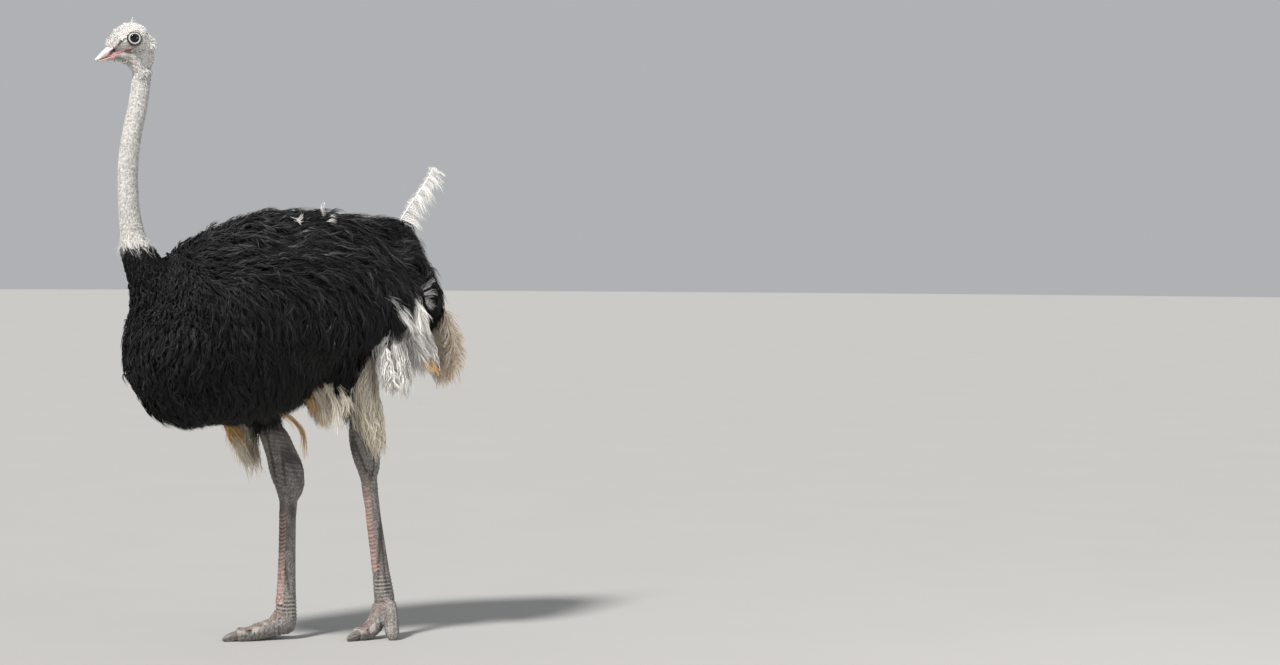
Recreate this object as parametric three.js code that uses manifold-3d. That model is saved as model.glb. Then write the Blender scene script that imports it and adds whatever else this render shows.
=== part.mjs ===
// An adult male ostrich at life size, standing with its right foot forward and its left heel raised.
// Millimetres, +Z up. The bird faces -Y, its left side is +X, and both feet stand on z = 0.
import * as THREE from "three";
import { mergeVertices } from "three/addons/utils/BufferGeometryUtils.js";
import Module from "manifold-3d";

const wasm = await Module();
wasm.setup();

// ---------------------------------------------------------------- driving dimensions
const GAP = 0.4; // clearance between two pieces that meet
const MIDDLE_Y = 10; // middle of the bird's whole length, which is put over the origin

const BACK_Z = 1510; // top of the back, out to the feather tips
const BELLY_Z = 772; // lowest line of the breast
const BREAST_Y = -588; // foremost point of the breast
const RUMP_Y = 562; // end of the trunk, where the tail begins
const TRUNK_HALF_WIDTH = 256;

const EYE_MIDDLE = [-4, -573, 2076]; // midway between the eyes
const HEAD_TURN = 18; // degrees to the bird's right
const EYE_RADIUS = 24;
const EYE_SPREAD = 26; // from the middle of the head to the middle of an eye

const TOE_REACH = 190; // from the knuckle to the end of the big toe's flesh
const RIGHT_LEG = {
  side: -1,
  hip: [-125, -31, 900],
  ankle: [-46, 59, 551],
  knuckle: [-5, 31, 72],
  turn: 14, // degrees that the foot turns outwards
  splay: 36, // degrees between its two toes
  heel: 56, // height of the toes' root
  tuck: 0, // how much the toes' bend takes from their reach
};
const LEFT_LEG = {
  side: 1,
  hip: [126, 190, 960],
  ankle: [130, 270, 634],
  knuckle: [142, 343, 142],
  turn: 12,
  splay: 54,
  heel: 132,
  tuck: 50,
};

// ---------------------------------------------------------------- materials
const paint = (color, roughness) => new THREE.MeshStandardMaterial({ color, roughness, metalness: 0 });
const BLACK_PLUMAGE = paint(0x17161a, 0.75);
const WHITE_PLUMES = paint(0xded8cc, 0.85);
const BUFF_PLUMES = paint(0xb79a75, 0.85);
const NECK_DOWN = paint(0xb6aba0, 0.85);
const LEG_SKIN = paint(0x77716e, 0.7);
const BILL_HORN = paint(0xc9a9a0, 0.45);
const CLAW_HORN = paint(0x6f675f, 0.5);
const EYE_GLOSS = paint(0x1b120d, 0.05);

// ---------------------------------------------------------------- shaping
const AXIS_X = new THREE.Vector3(1, 0, 0);
const AXIS_Y = new THREE.Vector3(0, 1, 0);
const AXIS_Z = new THREE.Vector3(0, 0, 1);
const FLAT_END = 0.03; // what is left of a domed end, as a share of its section
const LAST_RING = 0.999; // a share of the length past which only the end ring lies
const KNIFE_SIZE = 900;
const FLOOR_SIZE = 3000;
const FLOOR_DEPTH = 400;

// How much of its full section a body keeps at t, from 0 to 1 along it, when its ends are domes.
function domed(t, [first, last]) {
  const from = Math.min(first > 0 ? t / first : 1, last > 0 ? (1 - t) / last : 1, 1);
  return Math.max(FLAT_END, Math.sqrt(1 - (1 - from) ** 2));
}

// A closed body along a smooth spine. Each station has a point `at` on the spine and three half sizes:
// across, towards the side b and away from it, where b is the spine's direction crossed with `across`,
// which is X turned by `facing` degrees. An upright body keeps its sections square to Y.
function loft(stations, options = {}) {
  const { sides = 12, rings = 12, dome = [0, 0], square = 2 } = options;
  const { grow = 0, facing = 0, upright = false } = options;
  const spine = new THREE.CatmullRomCurve3(stations.map(({ at }) => new THREE.Vector3(...at)));
  const girth = new THREE.CatmullRomCurve3(stations.map(({ half }) => new THREE.Vector3(...half)));
  const body = new THREE.CylinderGeometry(1, 1, 1, sides, rings);
  const place = body.getAttribute("position");
  const closer = dome[0] + dome[1] > 0 ? 0.6 : 0; // rings crowd towards domed ends
  const sideways = AXIS_X.clone().applyAxisAngle(AXIS_Z, THREE.MathUtils.degToRad(facing));
  for (let i = 0; i < place.count; i++) {
    const even = 0.5 - place.getY(i);
    const t = THREE.MathUtils.lerp(even, 0.5 - 0.5 * Math.cos(Math.PI * even), closer);
    const along = upright ? AXIS_Y : spine.getTangent(t);
    const across = sideways.clone().addScaledVector(along, -along.dot(sideways)).normalize();
    const b = along.clone().cross(across);
    const half = girth.getPoint(t).multiplyScalar(domed(t, dome)).addScalar(grow);
    const rounded = (c) => Math.sign(c) * Math.abs(c) ** (2 / square);
    const up = rounded(place.getZ(i));
    const beyond = grow * (Number(even > LAST_RING) - Number(even < 1 - LAST_RING)); // the end faces grow too
    const point = spine
      .getPoint(t)
      .addScaledVector(along, beyond)
      .addScaledVector(across, rounded(place.getX(i)) * half.x)
      .addScaledVector(b, up * (up > 0 ? half.y : half.z));
    place.setXYZ(i, ...point);
  }
  return body;
}

// A three.js geometry as a solid that can be joined and cut.
function solid(geometry) {
  const bare = new THREE.BufferGeometry()
    .setAttribute("position", geometry.getAttribute("position"))
    .setIndex(geometry.getIndex());
  const merged = mergeVertices(bare, 1e-3);
  return new wasm.Manifold(
    new wasm.Mesh({
      numProp: 3,
      vertProperties: new Float32Array(merged.getAttribute("position").array),
      triVerts: new Uint32Array(merged.getIndex().array),
    }),
  );
}

// A body and its slightly larger self, which cuts the gap into its neighbours.
function pair(stations, options = {}, matrix = new THREE.Matrix4()) {
  const make = (grow) => solid(loft(stations, { ...options, grow }).applyMatrix4(matrix));
  return { body: make(0), grown: make(GAP) };
}

// The largest of the bodies that a cut leaves.
function largest(cut) {
  return cut.decompose().reduce((best, next) => (next.volume() > best.volume() ? next : best));
}

// body less each of its neighbours.
function carve(body, ...neighbours) {
  return largest(neighbours.reduce((rest, next) => rest.subtract(next), body));
}

// Cuts a body across at a point, square to the given direction, and returns the two sides in that direction.
function part(body, at, towards) {
  const knife = new THREE.BoxGeometry(KNIFE_SIZE, KNIFE_SIZE, GAP);
  const direction = new THREE.Vector3(...towards).normalize();
  knife.applyQuaternion(new THREE.Quaternion().setFromUnitVectors(new THREE.Vector3(0, 0, 1), direction));
  knife.translate(...at);
  const order = (m) => {
    const box = m.boundingBox();
    const middle = new THREE.Vector3(...box.min).add(new THREE.Vector3(...box.max)).multiplyScalar(0.5);
    return middle.dot(direction);
  };
  const sides = body.subtract(solid(knife)).decompose();
  const level = new THREE.Vector3(...at).dot(direction);
  const pick = (keep) => sides.filter(keep).reduce((a, b) => (b.volume() > a.volume() ? b : a));
  return [pick((m) => order(m) < level), pick((m) => order(m) > level)];
}

const FLOOR_BLOCK = solid(
  new THREE.BoxGeometry(FLOOR_SIZE, FLOOR_SIZE, FLOOR_DEPTH).translate(0, 0, -FLOOR_DEPTH / 2),
);

function named(name, body, material) {
  const { numProp, vertProperties, triVerts } = body.getMesh();
  const points = new Float32Array((vertProperties.length / numProp) * 3);
  for (let i = 0; i < points.length / 3; i++)
    points.set(vertProperties.subarray(i * numProp, i * numProp + 3), i * 3);
  const geometry = new THREE.BufferGeometry()
    .setAttribute("position", new THREE.BufferAttribute(points, 3))
    .setIndex(new THREE.BufferAttribute(new Uint32Array(triVerts), 1));
  geometry.computeVertexNormals();
  const mesh = new THREE.Mesh(geometry, material);
  mesh.name = name;
  return mesh;
}

const mix = (a, b, t) => a.map((v, i) => THREE.MathUtils.lerp(v, b[i], t));
const mirrored = (stations, side) =>
  stations.map(({ at: [x, y, z], half }) => ({ at: [x * side, y, z], half }));

// ---------------------------------------------------------------- trunk, half sizes: across, down, up
const TRUNK = [
  { at: [0, BREAST_Y, 1005], half: [200, 208, 208] },
  { at: [0, -530, 1030], half: [205, 202, 204] },
  { at: [0, -470, 1045], half: [216, 254, 252] },
  { at: [0, -400, 1068], half: [230, 1068 - BELLY_Z, 312] },
  { at: [0, -220, 1105], half: [248, 1105 - BELLY_Z, 354] },
  { at: [0, -20, 1140], half: [TRUNK_HALF_WIDTH, 335, BACK_Z - 1140] },
  { at: [0, 170, 1190], half: [250, 288, 304] },
  { at: [0, 340, 1222], half: [220, 250, 256] },
  { at: [0, 480, 1235], half: [178, 216, 240] },
  { at: [0, RUMP_Y, 1232], half: [130, 180, 190] },
];
const trunk = pair(TRUNK, { sides: 20, rings: 15, dome: [0.3, 0.13], square: 2.15, upright: true });

// ---------------------------------------------------------------- neck, half sizes: across, back, front
const NECK = [
  { at: [0, -430, 1080], half: [140, 130, 125] },
  { at: [0, -484, 1190], half: [112, 105, 90] },
  { at: [0, -527, 1280], half: [84, 82, 66] },
  { at: [0, -556, 1345], half: [62, 64, 56] },
  { at: [0, -571, 1400], half: [48, 50, 48] },
  { at: [0, -582, 1450], half: [41, 43, 41] },
  { at: [0, -590, 1532], half: [37, 38, 38] },
  { at: [0, -592, 1640], half: [36, 38, 38] },
  { at: [0, -581, 1740], half: [35, 38, 37] },
  { at: [0, -553, 1862], half: [34, 36, 35] },
  { at: [-2, -538, 1960], half: [33, 36, 35] },
  { at: [-2, -528, 2020], half: [31, 38, 34] },
  { at: [-2, -526, 2062], half: [26, 30, 30] },
];
const BLACK_DOWN_TO = 4; // the station where the plumage of the trunk ends and the neck's down begins
const MID_NECK = 7; // the station where the bare neck is parted
const neck = pair(NECK, { sides: 12, rings: 23 });

// ---------------------------------------------------------------- head, in a frame between the eyes
const headPlace = new THREE.Matrix4()
  .makeTranslation(...EYE_MIDDLE)
  .multiply(new THREE.Matrix4().makeRotationZ(THREE.MathUtils.degToRad(-HEAD_TURN)));

// Half sizes of the four bodies of the head: across, down, up.
const CRANIUM = [
  { at: [0, -88, -28], half: [20, 16, 13] },
  { at: [0, -79, -25], half: [26, 28, 24] },
  { at: [0, -63, -19], half: [31, 37, 35] },
  { at: [0, -43, -12], half: [36, 46, 45] },
  { at: [0, -20, -6], half: [40, 52, 57] },
  { at: [0, 4, -4], half: [42, 56, 58] },
  { at: [0, 24, -6], half: [40, 58, 53] },
  { at: [0, 42, -14], half: [35, 54, 40] },
  { at: [0, 60, -28], half: [29, 42, 31] },
  { at: [0, 74, -42], half: [22, 30, 24] },
];
const THROAT = [
  { at: [0, -88, -62], half: [20, 10, 10] },
  { at: [0, -62, -60], half: [27, 15, 18] },
  { at: [0, -36, -62], half: [31, 20, 28] },
  { at: [0, -8, -74], half: [33, 22, 36] },
  { at: [0, 18, -96], half: [33, 25, 34] },
  { at: [0, 33, -128], half: [33, 32, 35] },
];
const UPPER_BILL = [
  { at: [0, -127, -62], half: [8, 4, 4] },
  { at: [0, -118, -59], half: [14, 6, 5] },
  { at: [0, -104, -52], half: [20, 10, 9] },
  { at: [0, -88, -44], half: [25, 14, 14] },
  { at: [0, -68, -37], half: [27, 18, 19] },
];
const LOWER_BILL = [
  { at: [0, -122, -70], half: [9, 3, 3] },
  { at: [0, -108, -69], half: [17, 6, 4] },
  { at: [0, -88, -66], half: [23, 9, 6] },
  { at: [0, -62, -62], half: [26, 12, 7] },
];
const cranium = solid(loft(CRANIUM, { sides: 14, rings: 11, dome: [0.06, 0.16] }).applyMatrix4(headPlace));
const throat = solid(loft(THROAT, { sides: 10, rings: 7 }).applyMatrix4(headPlace));
const upperBill = pair(UPPER_BILL, { sides: 10, rings: 7, dome: [0.12, 0] }, headPlace);
const lowerBill = pair(LOWER_BILL, { sides: 10, rings: 6, dome: [0.12, 0] }, headPlace);
const NAPE = new THREE.Vector3(0, 25, -90).applyMatrix4(headPlace).toArray();
const NAPE_SLOPE = [-0.11, -0.34, 0.94]; // the head is parted from the neck square to this

function eye(side, grow = 0) {
  const ball = new THREE.SphereGeometry(EYE_RADIUS + grow, 10, 8);
  return solid(ball.translate(side * EYE_SPREAD, 0, 0).applyMatrix4(headPlace));
}

// ---------------------------------------------------------------- wings, half sizes: across, down, up
const WING = [
  { at: [190, -350, 1190], half: [34, 80, 80] },
  { at: [226, -240, 1190], half: [50, 150, 130] },
  { at: [244, -20, 1185], half: [54, 205, 165] },
  { at: [240, 180, 1180], half: [52, 180, 150] },
  { at: [222, 330, 1165], half: [44, 120, 110] },
  { at: [205, 430, 1145], half: [30, 80, 70] },
];
// Half sizes of all hanging plumes: across, front, back.
const WING_PLUMES = [
  [
    { at: [226, 270, 1140], half: [32, 52, 50] },
    { at: [240, 296, 1010], half: [34, 60, 60] },
    { at: [246, 318, 915], half: [28, 56, 54] },
    { at: [248, 326, 872], half: [16, 42, 40] },
  ],
  [
    { at: [200, 372, 1190], half: [28, 40, 40] },
    { at: [206, 420, 1080], half: [32, 56, 54] },
    { at: [205, 452, 990], half: [28, 54, 52] },
    { at: [204, 462, 945], half: [16, 38, 38] },
  ],
];

// ---------------------------------------------------------------- tail and rump
// Half sizes: across, down and forward, up and back.
const TAIL = [
  { at: [0, 440, 1345], half: [136, 110, 90] },
  { at: [0, 505, 1290], half: [120, 80, 72] },
  { at: [0, 573, 1215], half: [106, 64, 62] },
  { at: [0, 608, 1140], half: [88, 44, 46] },
  { at: [0, 606, 1078], half: [60, 28, 30] },
];
const TAIL_PLUMES = [
  { at: [0, 580, 1180], half: [80, 34, 34] },
  { at: [0, 648, 1105], half: [84, 38, 36] },
  { at: [0, 680, 1005], half: [76, 38, 36] },
  { at: [0, 668, 885], half: [48, 26, 26] },
];
const RUMP_PLUME = [
  { at: [0, 450, 1420], half: [5, 12, 12] },
  { at: [-6, 514, 1500], half: [6, 24, 30] },
  { at: [-14, 592, 1588], half: [5, 22, 26] },
  { at: [-20, 650, 1660], half: [4, 7, 7] },
];

// ---------------------------------------------------------------- legs, half sizes: across, front, back
// Each station is a share of the way from hip to ankle, or from ankle to knuckle.
const THIGH = [
  { share: -0.25, half: [84, 92, 98] },
  { share: 0, half: [76, 84, 88] },
  { share: 0.36, half: [50, 51, 54] },
  { share: 0.66, half: [40, 47, 60] },
  { share: 0.88, half: [38, 56, 70] },
];
const ANKLE = [
  { share: 0, half: [38, 56, 63] },
  { share: 0.09, half: [32, 41, 52] },
];
const SHANK = [
  { share: 0.17, half: [24, 32, 31] },
  { share: 0.42, half: [22, 33, 30] },
  { share: 0.74, half: [24, 36, 31] },
  { share: 0.9, half: [29, 42, 34] },
  { share: 1, half: [33, 45, 36] },
  { share: 1.12, half: [31, 42, 36] },
];
const THIGH_CUT = 0.8; // where the thigh is parted from the ankle
const HEEL_DOME = 0.07; // the share of the limb that rounds off into the heel
const SHANK_CUT = 0.13; // where the ankle is parted from the shank

function legStations({ hip, ankle, knuckle }) {
  const along = (from, to) => ({ share, half }) => ({ at: mix(from, to, share), half });
  return [
    ...THIGH.map(along(hip, ankle)),
    ...ANKLE.map(along(ankle, knuckle)),
    ...SHANK.map(along(ankle, knuckle)),
  ];
}

// Toes and claw: a share of the reach, the height over the floor, how much of the heel's height is
// added to it, and half sizes across, up, down.
const BIG_TOE = [
  { reach: -0.13, drop: 1, floor: 0, half: [33, 30, 38] },
  { reach: 0.14, drop: 0.78, floor: 8, half: [34, 31, 38] },
  { reach: 0.42, drop: 0.32, floor: 24, half: [33, 26, 40] },
  { reach: 0.68, drop: 0.02, floor: 26, half: [33, 21, 34] },
  { reach: 0.9, drop: 0, floor: 23, half: [30, 18, 32] },
  { reach: 1, drop: 0, floor: 21, half: [23, 15, 28] },
];
const CLAW = [
  { reach: 0.93, drop: 0, floor: 23, half: [17, 16, 22] },
  { reach: 1.09, drop: 0, floor: 17, half: [14, 13, 22] },
  { reach: 1.24, drop: 0, floor: 6, half: [7, 7, 14] },
];
const SMALL_TOE = [
  { reach: 0, drop: 0.95, floor: 0, half: [22, 22, 26] },
  { reach: 0.2, drop: 0.6, floor: 8, half: [26, 24, 30] },
  { reach: 0.44, drop: 0.18, floor: 20, half: [28, 24, 29] },
  { reach: 0.62, drop: 0, floor: 20, half: [25, 20, 27] },
  { reach: 0.72, drop: 0, floor: 18, half: [18, 14, 24] },
];
const SMALL_TOE_STEP = 26; // how far to the outside the small toe leaves the knuckle
const FLAT_FROM = 0.55; // the share of the reach where a toe has come down to the floor

function toe(stations, { heel, tuck }) {
  return stations.map(({ reach, drop, floor, half }) => ({
    at: [0, tuck * THREE.MathUtils.clamp(reach / FLAT_FROM, 0, 1) - reach * TOE_REACH, floor + drop * heel],
    half,
  }));
}

function footPlace({ side, knuckle, turn }, splay = 0, step = 0) {
  const angle = (degrees) => THREE.MathUtils.degToRad(side * degrees);
  return new THREE.Matrix4()
    .makeTranslation(knuckle[0], knuckle[1], 0)
    .multiply(new THREE.Matrix4().makeRotationZ(angle(turn)))
    .multiply(new THREE.Matrix4().makeTranslation(side * step, 0, 0))
    .multiply(new THREE.Matrix4().makeRotationZ(angle(splay)));
}

// ---------------------------------------------------------------- plumes of the legs and the flank
// Half sizes: across, front, back.
const LEFT_THIGH_PLUMES = [
  { at: [136, 190, 1020], half: [56, 70, 80] },
  { at: [156, 240, 820], half: [52, 62, 74] },
  { at: [158, 270, 720], half: [40, 46, 56] },
  { at: [150, 298, 620], half: [14, 16, 20] },
];
const RIGHT_THIGH_PLUMES = [
  { at: [-174, -74, 950], half: [42, 82, 62] },
  { at: [-174, -66, 770], half: [38, 72, 54] },
  { at: [-164, -38, 670], half: [29, 46, 42] },
  { at: [-156, -22, 566], half: [11, 16, 16] },
];
const FLANK_PLUMES = [
  { at: [112, 92, 900], half: [60, 70, 70] },
  { at: [104, 112, 830], half: [48, 52, 50] },
  { at: [96, 130, 770], half: [18, 20, 20] },
];

// ---------------------------------------------------------------- assembly
const PLUME_SHAPE = { sides: 10, rings: 6, dome: [0, 0.2] };
const ostrich = new THREE.Group();
ostrich.position.y = -MIDDLE_Y;
const add = (name, body, material) => ostrich.add(named(name, body, material));

const wings = [1, -1].map((side) => pair(mirrored(WING, side), { sides: 12, rings: 8, dome: [0.2, 0.2] }));
const wingPlumes = [1, -1].map((side) =>
  WING_PLUMES.map((tuft) => pair(mirrored(tuft, side), PLUME_SHAPE)),
);
const whitePlumes = wingPlumes.flat().map(({ grown }) => grown);
const tail = pair(TAIL, { sides: 13, rings: 7, dome: [0, 0.25] });
const tailPlumes = pair(TAIL_PLUMES, { sides: 12, rings: 7, dome: [0, 0.2] });
const wingsGrown = wings[0].grown.add(wings[1].grown);

function addHeadAndNeck() {
  const eyes = eye(1, GAP).add(eye(-1, GAP));
  const bills = upperBill.grown.add(lowerBill.grown);
  const whole = neck.body.add(cranium).add(throat).subtract(trunk.grown);
  const [below, head] = part(largest(whole), NAPE, NAPE_SLOPE);
  const [base, bare] = part(below, NECK[BLACK_DOWN_TO].at, [0, -0.2, 1]);
  const [lower, upper] = part(bare, NECK[MID_NECK].at, [0, 0, 1]);
  add("head", carve(head, eyes, bills), NECK_DOWN);
  add("neck_upper", upper, NECK_DOWN);
  add("neck_lower", lower, NECK_DOWN);
  add("neck_base", base, BLACK_PLUMAGE);
  add("upper_bill", carve(upperBill.body, eyes), BILL_HORN);
  add("lower_bill", carve(lowerBill.body, upperBill.grown), BILL_HORN);
  add("eye_left", eye(1), EYE_GLOSS);
  add("eye_right", eye(-1), EYE_GLOSS);
}

function addWing(index, word) {
  const others = trunk.grown.add(wings[index].grown);
  add(`wing_${word}`, wings[index].body, BLACK_PLUMAGE);
  const [front, rear] = wingPlumes[index];
  add(`wing_plumes_front_${word}`, carve(front.body, others), WHITE_PLUMES);
  add(`wing_plumes_rear_${word}`, carve(rear.body, others, front.grown), WHITE_PLUMES);
}

function addTail() {
  const plume = solid(loft(RUMP_PLUME, { sides: 8, rings: 6 }));
  add("tail", carve(tail.body, trunk.grown, wingsGrown, ...whitePlumes), BLACK_PLUMAGE);
  add("tail_plumes", carve(tailPlumes.body, trunk.grown, tail.grown, ...whitePlumes), BUFF_PLUMES);
  add("rump_plume", carve(plume, trunk.grown, tail.grown), WHITE_PLUMES);
}

function addLeg(leg, word) {
  const limbShape = { sides: 12, rings: 22, dome: [0, HEEL_DOME], facing: leg.side * leg.turn };
  const { body, grown } = pair(legStations(leg), limbShape);
  const big = pair(toe(BIG_TOE, leg), { sides: 12, rings: 10, dome: [0.16, 0.1] }, footPlace(leg));
  const small = pair(
    toe(SMALL_TOE, leg),
    { sides: 10, rings: 6, dome: [0, 0.15] },
    footPlace(leg, leg.splay, SMALL_TOE_STEP),
  );
  const claw = pair(toe(CLAW, leg), { sides: 8, rings: 4, dome: [0, 0.3] }, footPlace(leg));
  const limb = carve(body, trunk.grown, wingsGrown, big.grown, small.grown, FLOOR_BLOCK);
  const thighRun = leg.ankle.map((v, i) => v - leg.hip[i]);
  const shankRun = leg.knuckle.map((v, i) => v - leg.ankle[i]);
  const [thigh, below] = part(limb, mix(leg.hip, leg.ankle, THIGH_CUT), thighRun);
  const [ankle, shank] = part(below, mix(leg.ankle, leg.knuckle, SHANK_CUT), shankRun);
  add(`thigh_${word}`, thigh, LEG_SKIN);
  add(`ankle_${word}`, ankle, LEG_SKIN);
  add(`shank_${word}`, shank, LEG_SKIN);
  add(`big_toe_${word}`, carve(big.body, claw.grown, FLOOR_BLOCK), LEG_SKIN);
  add(`small_toe_${word}`, carve(small.body, big.grown, FLOOR_BLOCK), LEG_SKIN);
  add(`claw_${word}`, carve(claw.body, FLOOR_BLOCK), CLAW_HORN);
  return grown;
}

function addLegPlumes(name, stations, ...neighbours) {
  const plumes = carve(solid(loft(stations, PLUME_SHAPE)), trunk.grown, wingsGrown, ...neighbours);
  add(name, plumes, WHITE_PLUMES);
}

add("trunk", carve(trunk.body, wingsGrown), BLACK_PLUMAGE);
addHeadAndNeck();
addWing(0, "left");
addWing(1, "right");
addTail();
const leftLimb = addLeg(LEFT_LEG, "left");
const rightLimb = addLeg(RIGHT_LEG, "right");
const leftThighPlumes = solid(loft(LEFT_THIGH_PLUMES, { ...PLUME_SHAPE, grow: GAP }));
addLegPlumes("thigh_plumes_left", LEFT_THIGH_PLUMES, leftLimb, ...whitePlumes);
addLegPlumes("thigh_plumes_right", RIGHT_THIGH_PLUMES, rightLimb, ...whitePlumes);
addLegPlumes("flank_plumes", FLANK_PLUMES, leftLimb, rightLimb, leftThighPlumes);

export default ostrich;
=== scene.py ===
"""A life-size ostrich cock, standing still: skin, bill, eyes, scaly legs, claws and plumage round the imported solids.

Lengths are in metres. +Z is up, the bird faces -Y, and the floor is at z = 0.
"""

import math

import bmesh
import bpy
import numpy as np
from mathutils import Matrix, Vector
from mathutils.bvhtree import BVHTree


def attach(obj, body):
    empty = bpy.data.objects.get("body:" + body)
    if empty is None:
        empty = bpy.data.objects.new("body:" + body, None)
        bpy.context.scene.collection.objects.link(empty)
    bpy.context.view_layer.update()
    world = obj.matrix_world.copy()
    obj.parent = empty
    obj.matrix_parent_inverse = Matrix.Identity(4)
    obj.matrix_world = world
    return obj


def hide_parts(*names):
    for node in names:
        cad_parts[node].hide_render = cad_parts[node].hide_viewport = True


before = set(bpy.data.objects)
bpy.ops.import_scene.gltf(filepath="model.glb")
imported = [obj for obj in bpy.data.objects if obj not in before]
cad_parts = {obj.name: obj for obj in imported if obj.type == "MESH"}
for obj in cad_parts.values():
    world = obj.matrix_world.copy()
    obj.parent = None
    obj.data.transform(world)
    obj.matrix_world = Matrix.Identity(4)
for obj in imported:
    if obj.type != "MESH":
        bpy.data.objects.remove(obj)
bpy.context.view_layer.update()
scene = bpy.context.scene

# ------------------------------------------------------------------------------------------------ sizes and places

SIDES = {"right": -1, "left": 1}
EYE_MIDDLE = Vector((-0.004, -0.583, 2.076))
HEAD_TURN = math.radians(18)
EYE_RADIUS = 0.024
EYE_SPREAD = 0.026
COLLAR = 1.392              # height at which the black plumage gives way to the bare neck
NECK_CUT = 1.44             # heights at which the skin passes from one fineness to the next
HEAD_CUT = 1.955
THIGH_CUT = 0.74
COAT_DEPTH = 0.026          # how far the trunk's skin lies under the outer feathers
NECK_DEPTH = 0.0045
HEAD_DEPTH = 0.0030
ANKLE = {"right": Vector((-0.046, 0.049, 0.551)), "left": Vector((0.130, 0.260, 0.634))}
KNUCKLE = {"right": Vector((-0.005, 0.021, 0.072)), "left": Vector((0.142, 0.333, 0.142))}
LEG_TURN = {"right": math.radians(12), "left": math.radians(12)}

TOE_WAY = {"right": (math.sin(math.radians(-14)), -math.cos(math.radians(-14))),
           "left": (math.sin(math.radians(12)), -math.cos(math.radians(12)))}
TOE_RUN = {"right": 0.188, "left": 0.140}

FLESH = ["trunk", "neck_base", "neck_lower", "neck_upper", "head", "tail"]
FLESH += [f"{part}_{side}" for side in SIDES for part in
          ("wing", "thigh", "ankle", "shank", "big_toe", "small_toe")]


# ------------------------------------------------------------------------------------------------ camera and light

def aim(spot, target, roll=0.0):
    """The turn that makes a lamp or camera at spot look at target."""
    turn = (Vector(target) - Vector(spot)).to_track_quat("-Z", "Y").to_matrix()
    return Matrix.Translation(spot) @ (turn @ Matrix.Rotation(roll, 3, "Z")).to_4x4()


def set_camera():
    """Eleven metres off, sixty degrees round from the bird's front, a little under its eye."""
    around = math.radians(60)
    back = Vector((math.sin(around), -math.cos(around), 0))
    yaw, pitch = math.radians(6.55), math.radians(1.917)
    ahead = -back * math.cos(yaw) + Vector((math.cos(around), math.sin(around), 0)) * math.sin(yaw)
    ahead = ahead * math.cos(pitch) - Vector((0, 0, math.sin(pitch)))
    spot = back * 11.0 + Vector((0, -0.010, 1.45))
    data = bpy.data.cameras.new("camera")
    data.lens = 88.08
    data.sensor_width = 36.0
    data.clip_end = 200.0
    camera = bpy.data.objects.new("camera", data)
    camera.matrix_world = aim(spot, spot + ahead, math.radians(0.34))
    scene.collection.objects.link(camera)
    scene.camera = camera


def soft_lamp(name, spot, target, size, power, colour=(1, 1, 1)):
    """A square studio lamp."""
    data = bpy.data.lights.new(name, "AREA")
    data.shape = "SQUARE"
    data.size = size
    data.energy = power
    data.color = colour
    lamp = bpy.data.objects.new(name, data)
    lamp.matrix_world = aim(spot, target)
    scene.collection.objects.link(lamp)


def set_studio():
    """A pale floor under a pale sky, with a wide soft key from the upper left and a weak lamp at the side."""
    bm = bmesh.new()
    bmesh.ops.create_circle(bm, cap_ends=True, segments=96, radius=60)
    data = bpy.data.meshes.new("floor")
    bm.to_mesh(data)
    bm.free()
    floor = bpy.data.objects.new("floor", data)
    scene.collection.objects.link(floor)
    floor.data.materials.append(plain_material("floor_paint", (0.36, 0.355, 0.345), 0.9))
    sky = bpy.data.worlds.new("studio")
    sky.use_nodes = True
    sky.node_tree.nodes["Background"].inputs["Color"].default_value = (0.86, 0.88, 0.91, 1)
    sky.node_tree.nodes["Background"].inputs["Strength"].default_value = 0.50
    scene.world = sky
    sun = bpy.data.lights.new("key", "SUN")
    sun.angle = math.radians(9)
    sun.energy = 5.1
    sun.color = (1.0, 0.975, 0.94)
    key = bpy.data.objects.new("key", sun)
    key.matrix_world = aim((1.5, -4.4, 5.6), (0, 0, 0.0))
    scene.collection.objects.link(key)
    soft_lamp("side", (5.5, 2.5, 3.0), (0, 0.1, 1.0), 2.6, 90, (0.95, 0.97, 1.0))
    scene.view_settings.view_transform = "Standard"
    scene.view_settings.look = "None"


# ------------------------------------------------------------------------------------------------ node helpers

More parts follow.
